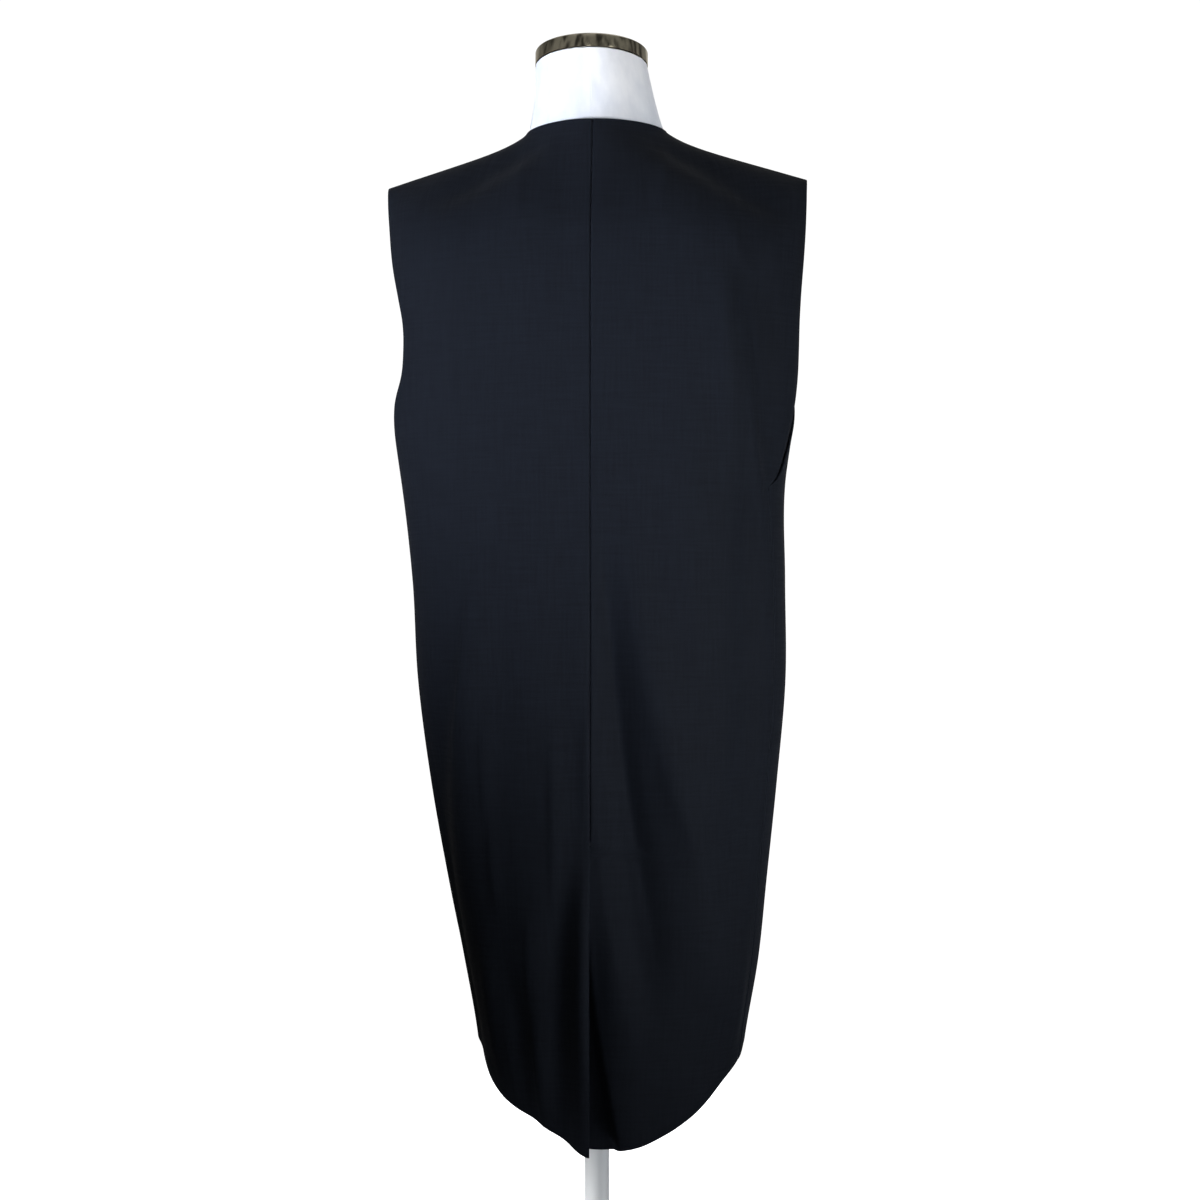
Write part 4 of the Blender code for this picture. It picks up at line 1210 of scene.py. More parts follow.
    def normal(self, across: Grid, up: Grid) -> Grid:
        """Outward direction of the plain cloth: the cross product of the patch's two slopes.

        Args:
            across: 0 at the inner edge, 1 at the outer one.
            up: 0 at the hem, 1 at the top.

        Returns:
            Unit vectors out of the cloth.
        """
        step = 2e-5
        at_seam = (up > 1 - 1e-9) & (np.abs(self.base(across, up)[..., 1]) < 1e-9)
        left = np.where(at_seam & (across < 1), across, np.clip(across - step, 0, 1))
        right = np.clip(across + step, 0, 1)
        low, high = np.clip(up - step, 0, 1), np.clip(up + step, 0, 1)
        run = self.base(right, up) - self.base(left, up)
        rise = self.base(across, high) - self.base(across, low)
        out = np.cross(run, rise) * self.sign * (-1 if self.front else 1)
        out[..., 1] = np.where(at_seam, 0.0, out[..., 1])
        return out / np.linalg.norm(out, axis=-1, keepdims=True)

    def folded(self, base: Grid, fade: Grid | float = 1.0) -> Grid:
        """How far the folds move each point out, kept under the piece that lies over it.

        Args:
            base: points of the plain cloth.
            fade: the share of the folds that shows.

        Returns:
            How far each point moves out.
        """
        moved = fade * fold_sum(self.side, self.front, base)
        if not self.under:
            return moved
        x, z = base[..., 0] * self.sign, base[..., 2]
        over_side = Side.RIGHT if self.side is Side.LEFT else Side.LEFT
        below = fold_sum(over_side, self.front, base) - WALL - LAYER_GAP
        lap = FRONT_OVERLAP if self.front else 0.0
        free = smooth_step((x - lap - LAP_HOLD) / LAP_BLEND)
        if not self.front:
            free = free + smooth_step(1 - (VENT_TOP_Z + VENT_DIP_ABOVE - z) / VENT_DIP)
        return lower_of(moved, below + LAP_LIFT * free)

    def seam_fade(self, across: Grid, up: Grid, base: Grid) -> Grid:
        """1 over the piece, and 0 at the seams to its neighbours, which keep one shared line.

        Args:
            across: 0 at the inner edge, 1 at the outer one.
            up: 0 at the hem, 1 at the top.
            base: points of the plain cloth.

        Returns:
            The share of the folds that shows.
        """
        beside = smooth_step((1 - across) / SEAM_FADE_ACROSS)
        armhole = smooth_step((base[..., 2] - ARMHOLE_LOW_Z) / (2 * SHOULDER_ROUND) + 0.2)
        return np.maximum(beside, armhole) * smooth_step((1 - up) / SEAM_FADE_UP)

    def edge_sink(self, distance: Grid, kind: Edge) -> Grid:
        """How far the face turns in near an edge: a quarter circle, as deep as the finish makes it.

        Args:
            distance: how far each point is from the edge.
            kind: how the edge is finished.

        Returns:
            How far the face turns in.
        """
        reach = self.seam_round if kind is Edge.SEAM else self.fold_round
        depth = self.seam_sink if kind is Edge.SEAM else (WALL - self.rim) / 2
        share = np.clip(1 - distance / reach, 0, 1)
        return depth * (1 - np.sqrt(1 - share**2))

    def sinks(self, base: Grid) -> tuple[Grid, Grid]:
        """How far the outer and the inner face turn in at every point, by the edges near it.

        Args:
            base: points of the plain cloth.

        Returns:
            Both depths, for every point.
        """
        along, upward = runs(base, 1), runs(base, 0)
        x, z = np.abs(base[..., 0]), base[..., 2]
        inner_seam = (z > VENT_TOP_Z) & (not self.front)
        outer_seam = z[:, -1:] < ARMHOLE_LOW_Z
        top_seam = (x[-1:] > SIDE_NECK_X) | self.front
        no_seam = np.zeros_like(x, bool)
        face, lining = np.zeros_like(x), np.zeros_like(x)
        for distance, seam in (
            (along, inner_seam),
            (along[:, -1:] - along, outer_seam | no_seam),
            (upward, no_seam),
            (upward[-1:] - upward, top_seam | no_seam),
        ):
            sewn, free = self.edge_sink(distance, Edge.SEAM), self.edge_sink(distance, Edge.FREE)
            face = np.maximum(face, np.where(seam, sewn, free))
            lining = np.maximum(lining, np.where(seam, 0.0, free))
        return face, lining

    def build(self, finish: Any) -> Any:
        """The shell: outer and inner faces on one grid, with rolled edges and a narrow rim between.

        Args:
            finish: the cloth's material.

        Returns:
            The new object.
        """
        across, up = self.grid()
        base = self.base(across, up)
        out = self.normal(across, up)
        outer = base + out * self.folded(base, self.seam_fade(across, up, base))[..., None]
        inner = outer - out * WALL
        face, lining = self.sinks(base)
        outer, inner = outer - out * face[..., None], inner + out * lining[..., None]
        for edge, beside in (  # each edge moves in by half a seam's gap, so that neighbours don't touch
            (np.s_[0, :], np.s_[1, :]), (np.s_[-1, :], np.s_[-2, :]),
            (np.s_[:, 0], np.s_[:, 1]), (np.s_[:, -1], np.s_[:, -2]),
        ):
            for sheet in (outer, inner):
                inward = sheet[beside] - sheet[edge]
                length = np.linalg.norm(inward, axis=-1, keepdims=True)
                moved = np.minimum(SEAM_GAP / 2, self.rim_share * length)
                sheet[edge] = sheet[edge] + inward / length * moved
        rows, columns = across.shape
        flip = (self.sign < 0) != self.front
        count = rows * columns
        number = np.arange(count).reshape(rows, columns)
        rim = np.concatenate([number[0, :-1], number[:-1, -1], number[-1, :0:-1], number[:0:-1, 0]])
        ahead = np.roll(rim, -1)
        wall = np.stack([ahead, rim, rim + count, ahead + count], axis=-1)
        quads = np.concatenate([
            grid_faces(rows, columns, flip=flip),
            grid_faces(rows, columns, flip=not flip) + count,
            wall[:, ::-1] if flip else wall,
        ])
        uv = np.stack([self.sign * runs(base, 1), base[..., 2]], axis=-1).reshape(-1, 2)
        points = np.concatenate([outer.reshape(-1, 3), inner.reshape(-1, 3)])
        return add_mesh("cloth_" + self.node, points, quads, finish, np.concatenate([uv, uv]))


def on_front(x: Grid, z: Grid, lift: float) -> tuple[Grid, Grid]:
    """Points just above the outer front, and the way out there.

    Args:
        x: sideways places.
        z: heights.
        lift: how far above the cloth's face.

    Returns:
        The points, and unit vectors out of the cloth.
    """
    def face(at_x: Grid, at_z: Grid) -> Grid:
        """The folded front's outer face.

        Args:
            at_x: sideways places.
            at_z: heights.

        Returns:
            The points there.
        """
        base = plain_cloth(turn_at(at_x, at_z, front=True), at_z)
        base[..., 1] = base[..., 1] + fold_sum(Side.RIGHT, True, base)
        return base

    step = 5e-4
    out = np.cross(face(x, z + step) - face(x, z - step), face(x + step, z) - face(x - step, z))
    out = out / np.linalg.norm(out, axis=-1, keepdims=True)
    return face(x, z) + out * lift, out


@dataclass
class Button:
    """A dished four-hole button on centre front, with its cross of thread and its worked buttonhole."""

    index: int
    height: float
    radius: float = 0.010
    thick: float = 0.0032
    dish: float = 0.0008
    dish_share: float = 0.55
    rim_share: float = 0.68
    bevel: float = 0.0009
    hole_radius: float = 0.0009
    hole_offset: float = 0.0020
    hole_depth: float = 0.0014
    gap: float = 0.0005
    thread_radius: float = 0.00032
    hole_start: float = -0.003
    hole_end: float = 0.021
    purl_radius: float = 0.0011
    purl_height: float = 0.00055
    stitch_mm: float = 1.1
    thread_arch: float = 0.00035  # how far a thread's crown stands above the dish
    thread_over: float = 0.0005  # and how much more the upper one's does
    thread_sink: float = 0.0006
    hole_bend: float = 0.0012
    notch: float = 0.28  # how much the edge narrows between stitches, of its width
    purl_lift: float = 0.00005

    def seat(self) -> Matrix:
        """Where the button lies: flat against the outer front, tilted with it.

        Returns:
            The button's own frame.
        """
        z = np.float64(self.height)
        centre = plain_cloth(np.float64(math.pi), z)
        lift = float(fold_sum(Side.RIGHT, True, centre[None])[0])
        above, below = (plain_cloth(np.float64(math.pi), z + rise) for rise in (self.radius, -self.radius))
        slope = above - below
        tilt = math.atan2(slope[1], slope[2])
        lean = Matrix.Rotation(-math.pi / 2 - tilt, 4, "X")
        return Matrix.Translation((0.0, float(centre[1]) + lift + self.gap, self.height)) @ lean

    def disc(self, finish: Any) -> Any:
        """The button: a turned profile on a polar grid, whose top is sunk at each of the four holes.

        Args:
            finish: the button's material.

        Returns:
            The new object.
        """
        well = np.linspace(0.0, self.dish_share, 22)
        rise = np.linspace(self.dish_share, self.rim_share, 6)[1:]
        lift = smooth_step((rise - self.dish_share) / (self.rim_share - self.dish_share))
        face = [(r * self.radius, self.thick - self.dish) for r in well]
        face += [(r * self.radius, self.thick - self.dish * (1 - up)) for r, up in zip(rise, lift)]
        rim = rounded(self.radius, 0.0, self.thick, self.bevel, count=5)
        points = carried_round(face + rim + [(0.0, 0.0)], 72)
        x, y, z = np.moveaxis(points, -1, 0)
        for turn in math.pi / 4 + np.arange(4) * math.pi / 2:
            away = np.hypot(x - self.hole_offset * math.cos(turn), y - self.hole_offset * math.sin(turn))
            # level out to 0.75 of the hole's radius, and back at the face at 1.25 of it
            pit = smooth_step((self.hole_radius * 1.25 - away) / (self.hole_radius * 0.5))
            z[: len(well)] -= self.hole_depth * pit[: len(well)]
        return turned(f"horn_button_{self.index}", points, finish, self.seat())

    def thread(self, finish: Any) -> Any:
        """A cross of thread through the holes: two arched tubes, their ends sunk in the holes.

        Args:
            finish: the thread's material.

        Returns:
            The new object.
        """
        steps, sides = 25, 10
        share = np.linspace(-1, 1, steps)
        angle = np.linspace(0, 2 * math.pi, sides, endpoint=False)
        tubes, faces = [], []
        for k, lift in enumerate((0.0, self.thread_over)):
            turn = math.pi / 4 + k * math.pi / 2
            along = share * self.hole_offset
            arch = self.thick - self.dish + (self.thread_arch + lift) * (1 - share**2)
            arch = arch - self.thread_sink * share**8
            radius = self.thread_radius * np.sqrt(np.clip(1 - share**40, 0, 1))
            aside = radius[:, None] * np.cos(angle)
            above = radius[:, None] * np.sin(angle) + arch[:, None]
            points = np.stack([
                along[:, None] * math.cos(turn) - aside * math.sin(turn),
                along[:, None] * math.sin(turn) + aside * math.cos(turn),
                above,
            ], axis=-1)
            tubes.append(points.reshape(-1, 3))
            faces.append(grid_faces(steps, sides, wrap=True) + k * steps * sides)
        made = add_mesh(f"button_thread_{self.index}", np.concatenate(tubes), np.concatenate(faces), finish)
        made.data.transform(self.seat())
        close_up(made, sharp=math.pi)
        return made

    def buttonhole(self, finish: Any) -> Any:
        """The worked edge of the buttonhole: a flattened tube round a long loop, notched by its stitches.

        Args:
            finish: the thread's material.

        Returns:
            The new object.
        """
        steps, sides = 260, 8
        straight, bend = self.hole_end - self.hole_start, self.hole_bend
        length = 2 * straight + 2 * math.pi * bend
        walk = np.linspace(0, length, steps, endpoint=False)
        legs = [straight, straight + math.pi * bend, 2 * straight + math.pi * bend]
        turn = np.select(
            [walk < legs[0], walk < legs[1], walk < legs[2]],
            [0.0 * walk, (walk - legs[0]) / bend, math.pi + 0.0 * walk],
            math.pi + (walk - legs[2]) / bend,
        )
        middle_x = np.select(
            [walk < legs[0], walk < legs[1], walk < legs[2]],
            [self.hole_start + walk, self.hole_end + 0.0 * walk, self.hole_end - (walk - legs[1])],
            self.hole_start + 0.0 * walk,
        )
        loop_x = middle_x + bend * np.sin(turn)
        loop_z = self.height - bend * np.cos(turn)
        notch = 1 - self.notch * np.abs(np.sin(math.pi * walk / (self.stitch_mm / 1000)))
        angle = np.linspace(0, 2 * math.pi, sides, endpoint=False)
        across = self.purl_radius * np.cos(angle) * notch[:, None]
        above = self.purl_height * np.sin(angle) * notch[:, None]
        x = loop_x[:, None] + across * np.sin(turn)[:, None]
        z = loop_z[:, None] - across * np.cos(turn)[:, None]
        points, out = on_front(x, z, self.purl_lift)
        points = points + out * above[..., None]
        number = np.arange(steps * sides).reshape(steps, sides)
        ahead, beside = np.roll(number, -1, axis=0), np.roll(number, -1, axis=1)
        quads = np.stack([number, ahead, np.roll(ahead, -1, axis=1), beside], axis=-1).reshape(-1, 4)
        made = add_mesh(f"buttonhole_{self.index}", points.reshape(-1, 3), quads, finish)
        close_up(made, sharp=math.pi)
        return made


@dataclass
class Waistcoat:
    """The garment: two backs with a vent, two fronts that lap, four buttons and their buttonholes."""

    panels: tuple[Panel, ...] = (
        Panel("back_left", Side.LEFT, False, flat=(0.262, 1.03), area=0.205),
        Panel("back_right", Side.RIGHT, False, flat=(0.262, 1.03), area=0.222, under=True),
        Panel("front_left", Side.LEFT, True, flat=(0.300, 1.02), area=0.250, under=True),
        Panel("front_right", Side.RIGHT, True, flat=(0.300, 1.02), area=0.250),
    )

    def build(self) -> list[Any]:
        """Builds and dresses the cloth, the buttons and the stitching.

        Returns:
            The new pieces.
        """
        wool, thread, horn = WoolTwill().make(), PolyesterThread().make(), HornButton().make()
        made = []
        for index, height in enumerate(BUTTON_HEIGHTS, start=1):
            button = Button(index, height)
            disc = button.disc(horn)
            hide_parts(f"button_{index}")
            sewn, hole = button.thread(thread), button.buttonhole(thread)
            for piece in (disc, sewn, hole):
                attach(piece, "root")
                made.append(piece)
        for panel in self.panels:
            cloth = panel.build(wool)
            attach(cloth, "root")
            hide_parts(panel.node)
            made.append(cloth)
        return made


# ---------------------------------------------------------------------------------------------
# The dress form and its stand
# ---------------------------------------------------------------------------------------------

Torso = namedtuple("Torso", "z half back front")
TORSO = (
    Torso(0.700, 0.140, 0.092, 0.090),
    Torso(0.706, 0.147, 0.098, 0.096),
    Torso(0.730, 0.151, 0.102, 0.099),
    Torso(0.780, 0.155, 0.106, 0.102),
    Torso(0.840, 0.160, 0.109, 0.105),
    Torso(0.900, 0.156, 0.106, 0.103),
    Torso(0.960, 0.145, 0.098, 0.099),
    Torso(1.030, 0.131, 0.088, 0.096),
    Torso(1.090, 0.138, 0.092, 0.104),
    Torso(1.150, 0.148, 0.098, 0.115),
    Torso(1.210, 0.157, 0.104, 0.121),
    Torso(1.260, 0.165, 0.109, 0.117),
    Torso(1.300, 0.173, 0.112, 0.108),
    Torso(1.330, 0.180, 0.111, 0.099),
    Torso(1.358, 0.184, 0.106, 0.091),
    Torso(1.384, 0.186, 0.099, 0.083),
    Torso(1.398, 0.183, 0.0955, 0.079),
    Torso(1.408, 0.178, 0.0925, 0.076),
    Torso(1.416, 0.160, 0.0900, 0.074),
    Torso(1.424, 0.135, 0.0872, 0.072),
    Torso(1.432, 0.110, 0.0842, 0.070),
    Torso(1.4395, 0.092, 0.0810, 0.068),
    Torso(1.4455, 0.082, 0.0788, 0.066),
    Torso(1.4495, 0.075, 0.0770, 0.065),
)
Neck = namedtuple("Neck", "z half back front forward sideways tilt")
NECK = (
    Neck(1.4535, 0.0685, 0.0755, 0.0640, 0.000, 0.000, 0.0),
    Neck(1.4640, 0.0658, 0.0700, 0.0620, 0.001, -0.001, 2.0),
    Neck(1.4812, 0.0621, 0.0645, 0.0600, 0.003, -0.002, 5.0),
    Neck(1.5025, 0.0590, 0.0600, 0.0580, 0.006, -0.004, 7.0),
    Neck(1.5222, 0.0570, 0.0570, 0.0570, 0.009, -0.006, 8.0),
)


@dataclass
class DressForm:
    """The limbless form: a padded torso and neck under one stretched jersey cover."""

    sides: int = 168
    gap: float = 0.0006  # between its shoulders and the cloth that rests on them
    shoulder_x: float = 0.186
    corner_x: float = 0.165
    corner_round: float = 60.0
    depth_share: float = 0.72
    hollow_x: float = 0.045
    shoulder_inner_x: float = 0.04
    low_rings: tuple[float, ...] = (0.700, 0.7008, 0.7025, 0.706)  # round the bottom's edge
    body_rings: tuple[float, float, int] = (0.714, 1.32, 68)
    shoulder_rings: tuple[float, float, int] = (1.325, 1.4495, 44)
    square: float = 2.3
    pucker_height: float = 0.0010
    pucker_reach: float = 0.011
    pucker_rest: float = 0.35  # how strong the puckers are away from the bunch, of their full height
    bunch_turn: float = 0.15  # the bunch's turn to the left of centre back, and half-width, in radians
    bunch_width: float = 0.35
    bottom_rings: tuple[float, ...] = (0.0, 0.3, 0.6, 0.85, 0.96)

    def drop(self, x: Grid) -> Grid:
        """How far the form lies below the cloth's shoulder line, so that the gap is even square to it.

        Args:
            x: sideways places.

        Returns:
            The drops there.
        """
        steep = np.exp((SIDE_NECK_X - np.abs(x)) / NECK_SWEEP_RUN) * NECK_SWEEP_RISE / NECK_SWEEP_RUN
        slope = SHOULDER_SLOPE + np.minimum(steep, 1.0)
        return (WALL + self.gap) * np.sqrt(1 + slope**2)

    def half_width(self, z: float, half: float, sign: int) -> float:
        """The ring's half-width: the table's below the shoulder, and the shoulder line's above it.

        Args:
            z: the ring's height.
            half: the table's half-width.
            sign: 1 for the right side, -1 for the left.

        Returns:
            The half-width on that side.
        """
        across = np.linspace(self.shoulder_x, self.shoulder_inner_x, 400)
        corner = np.maximum(across - self.corner_x, 0.0)
        line = shoulder_height(sign * across) - self.drop(across) - self.corner_round * corner**2
        return float(np.interp(z, line, across)) if z > line[0] else half

    def under_cloth(self, x: Grid, z: float, front: bool) -> Grid:
        """How deep the form may be at a place to the side, to lie inside the cloth.

        Args:
            x: sideways places.
            z: the ring's height.
            front: whether the front is meant.

        Returns:
            The greatest depths there.
        """
        turn = turn_at(x, np.full_like(x, z), front=front)
        reach = np.abs(plain_cloth(turn, np.full_like(x, z) + self.drop(x))[:, 1])
        hollow = smooth_step((np.abs(x) - self.hollow_x) / self.hollow_x)
        share = 1 - (1 - self.depth_share) * hollow
        return np.maximum(reach * share - WALL - self.gap, 0.0)

    def half_ring(self, z: float, sign: int) -> Grid:
        """One side of the torso at one level: a superellipse, evenly walked from centre back to front.

        Args:
            z: the ring's height.
            sign: 1 for the right side, -1 for the left.

        Returns:
            Points from centre back to centre front.
        """
        level = np.float64(z)
        table = {name: float(column(TORSO, name, level, "z")) for name in ("half", "back", "front")}
        half = self.half_width(z, table["half"], sign)
        x = half * np.sin(np.linspace(0, math.pi / 2, 161))
        share = np.clip(x / max(table["half"], half), 0, 1)
        section = (1 - share**self.square) ** (1 / self.square)
        back = np.minimum(table["back"] * section, self.under_cloth(sign * x, z, False))
        front = np.minimum(table["front"] * section, self.under_cloth(sign * x, z, True))
        side = np.concatenate([np.stack([x, -back], -1), np.stack([x, front], -1)[::-1][1:]])
        run = np.concatenate([[0], np.cumsum(np.linalg.norm(np.diff(side, axis=0), axis=1))])
        marks = np.linspace(0, run[-1], self.sides // 2 + 1)
        x, y = np.interp(marks, run, side[:, 0]), np.interp(marks, run, side[:, 1])
        return np.column_stack([sign * x, y, np.full(len(marks), z)])

    def torso(self) -> Grid:
        """Rings of the torso from the bottom up, closest together over the shoulders.

        Returns:
            Points, a row for each ring.
        """
        levels = np.concatenate([
            self.low_rings, np.linspace(*self.body_rings), np.linspace(*self.shoulder_rings)
        ])
        rings = []
        for z in levels:
            right, left = self.half_ring(float(z), 1), self.half_ring(float(z), -1)
            rings.append(np.concatenate([right, left[-2:0:-1]]))
        return np.stack(rings)

    def neck(self) -> Grid:
        """Rings of the neck: ellipses that lean forward, puckered by sines round it just under the cap.

        Returns:
            Points, a row for each ring.
        """
        z = np.linspace(NECK[0].z, NECK[-1].z, 40)[:, None]
        read = {name: column(NECK, name, z, "z") for name in Neck._fields[1:]}
        angle = np.linspace(0, 2 * math.pi, self.sides, endpoint=False)[None, :]
        depth = np.where(np.cos(angle) > 0, read["back"], read["front"])
        near_cap = np.exp(-(((NECK[-1].z - z) / self.pucker_reach) ** 2))
        waves = np.sin(23 * angle + 0.7) + 0.8 * np.sin(37 * angle + 2.0) * np.sin(3 * angle + 1.0)
        aside = (angle + self.bunch_turn + math.pi) % (2 * math.pi) - math.pi
        bunch = self.pucker_rest + (1 - self.pucker_rest) * np.exp(-((aside / self.bunch_width) ** 2))
        pucker = self.pucker_height * near_cap * bunch * (waves - 1.2) / 2
        scale = 1 + pucker / NECK[-1].half
        x = read["half"] * np.sin(angle) * scale
        y = -depth * np.cos(angle) * scale
        lean = np.radians(read["tilt"])
        return np.stack([
            x + read["sideways"], y * np.cos(lean) + read["forward"], z - y * np.sin(lean)
        ], axis=-1)

    def build(self) -> list[Any]:
        """Builds the jersey form and closes it at the bottom and under the cap.

        Returns:
            The form's one piece.
        """
        jersey = CottonJersey().make()
        rings = np.concatenate([self.torso(), self.neck()])
        floor = rings[:1].mean(axis=1, keepdims=True)
        ceiling = rings[-1:].mean(axis=1, keepdims=True)
        shares = np.array(self.bottom_rings)[:, None, None]
        rings = np.concatenate([
            floor + (rings[:1] - floor) * shares, rings, ceiling + (rings[-1:] - ceiling) * shares[::-1]
        ])
        around = np.cumsum(np.linalg.norm(np.diff(rings[60], axis=0, prepend=rings[60][:1]), axis=1))
        upward = runs(rings, 0).mean(axis=1)
        uv = np.stack(np.meshgrid(around, upward), axis=-1).reshape(-1, 2)
        faces = grid_faces(len(rings), self.sides, wrap=True)
        made = add_mesh("jersey_form", rings.reshape(-1, 3), faces, jersey, uv)
        close_up(made, sharp=math.radians(60))
        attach(made, "root")
        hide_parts("form_body")
        return [made]


@dataclass
class NeckCap:
    """The bright cap on the neck: a straight band under a shallow dome."""

    radius: float = 0.0573
    band: float = 0.015
    dome: float = 0.0045
    bevel: float = 0.0015
    steps: int = 144

    def build(self) -> list[Any]:
        """Builds the turned cap and seats it on the neck's leaning top.

        Returns:
            The cap's one piece.
        """
        top = NECK[-1]
        shares = np.linspace(0, 1, 14)[:-1]
        dome = [
            ((self.radius - self.bevel) * share, self.band + self.dome * (1 - share**2)) for share in shares
        ]
        profile = dome + rounded(self.radius, 0.0, self.band, self.bevel) + [(0.0, 0.0)]
        lean = Matrix.Rotation(-math.radians(top.tilt), 4, "X")
        seat = Vector((top.sideways, top.forward, top.z)) + lean @ Vector((0, 0, SEAM_GAP))
        shape = carried_round(profile, self.steps)
        made = turned("neck_cap_plate", shape, PolishedChrome().make(), Matrix.Translation(seat) @ lean)
        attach(made, "root")
        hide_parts("neck_cap")
        return [made]


@dataclass
class Stand:
    """The stand: a collar under the form, a pole and a round base."""

    form_bottom: float = 0.700
    pole_radius: float = 0.0125
    into_collar: float = 0.040
    collar_radius: float = 0.024
    flange_radius: float = 0.050
    flange: float = 0.005
    collar_depth: float = 0.055
    base_radius: float = 0.170
    base_rim: float = 0.008
    base_crown: float = 0.016
    socket: float = 0.006
    hub_radius: float = 0.0275
    base_edge: float = 0.012
    base_round: float = 0.0025
    flange_bevel: float = 0.0012
    fillet: float = 0.002  # where the collar meets its flange
    collar_bevel: float = 0.001
    pole_bevel: float = 0.0008
    steps: int = 128

    def build(self) -> list[Any]:
        """Builds the three turned pieces in enamelled steel.

        Returns:
            The collar, the pole and the base.
        """
        enamel = WhiteEnamel().make()
        flange_top = self.form_bottom - SEAM_GAP
        bore = self.pole_radius + SEAM_GAP
        inside = -self.collar_depth + self.into_collar + SEAM_GAP
        flange = rounded(self.flange_radius, -self.flange, 0.0, self.flange_bevel)
        bend = 0.3 * self.fillet
        collar = [(0.0, 0.0)] + flange + [
            (self.collar_radius + self.fillet, -self.flange),
            (self.collar_radius + bend, -self.flange - bend),
            (self.collar_radius, -self.flange - self.fillet),
            (self.collar_radius, -self.collar_depth + self.collar_bevel),
            (self.collar_radius - self.collar_bevel, -self.collar_depth),
            (bore, -self.collar_depth),
            (bore, inside),
            (0.0, inside),
        ]
        pole_low = self.base_crown - self.socket + SEAM_GAP
        pole_high = flange_top - self.collar_depth + self.into_collar
        rod = rounded(self.pole_radius, pole_low, pole_high, self.pole_bevel)
        pole = [(0.0, pole_high)] + rod + [(0.0, pole_low)]
        across, rise = self.base_radius - self.base_edge - self.hub_radius, self.base_crown - self.base_rim
        shares = np.linspace(0, 1, 24)[1:]
        sweep = [(self.hub_radius + across * t, self.base_rim + rise * (1 - t) ** 2) for t in shares]
        well = self.base_crown - self.socket
        base = [(0.0, well), (bore, well), (bore, self.base_crown), (self.hub_radius, self.base_crown)]
        base += sweep + rounded(self.base_radius, 0.0, self.base_rim, self.base_round) + [(0.0, 0.0)]
        made = []
        for name, node, profile, z in (
            ("collar_steel", "stand_collar", collar, flange_top),
            ("pole_steel", "stand_pole", pole, 0.0),
            ("base_steel", "stand_base", base, 0.0),
        ):
            shape = carried_round(profile, self.steps)
            piece = turned(name, shape, enamel, Matrix.Translation((0.0, 0.0, z)))
            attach(piece, "root")
            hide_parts(node)
            made.append(piece)
        return made


# ---------------------------------------------------------------------------------------------
# The studio
# ---------------------------------------------------------------------------------------------


@dataclass(frozen=True)
class Softbox:
    """One soft light: a square panel round the stand, aimed at a height on its axis.

    round_to is its bearing in degrees from straight behind the wearer, towards the wearer's right.
    spread is the angle of the honeycomb grid in front of it, in degrees: 180 is none.
    """

    name: str
    round_to: float
    distance: float
    height: float
    aim: float
    size: float
    power: float
    spread: float
    colour: str

    def build(self) -> None:
        """Makes the area light, which only lights: neither the camera nor a mirror sees it."""
        lamp = bpy.data.lights.new(self.name, "AREA")
        lamp.shape = "SQUARE"
        lamp.size = self.size
        lamp.energy = self.power
        lamp.spread = math.radians(self.spread)
        lamp.color = linear(self.colour)[:3]
        made = bpy.data.objects.new(self.name, lamp)
        turn = math.radians(self.round_to)
        place = Vector((self.distance * math.sin(turn), -self.distance * math.cos(turn), self.height))
        made.location = place
        made.rotation_euler = (Vector((0.0, 0.0, self.aim)) - place).to_track_quat("-Z", "Y").to_euler()
        made.visible_camera = False
        made.visible_glossy = False  # what shines mirrors the room instead, as softly as the real one does
        bpy.context.scene.collection.objects.link(made)


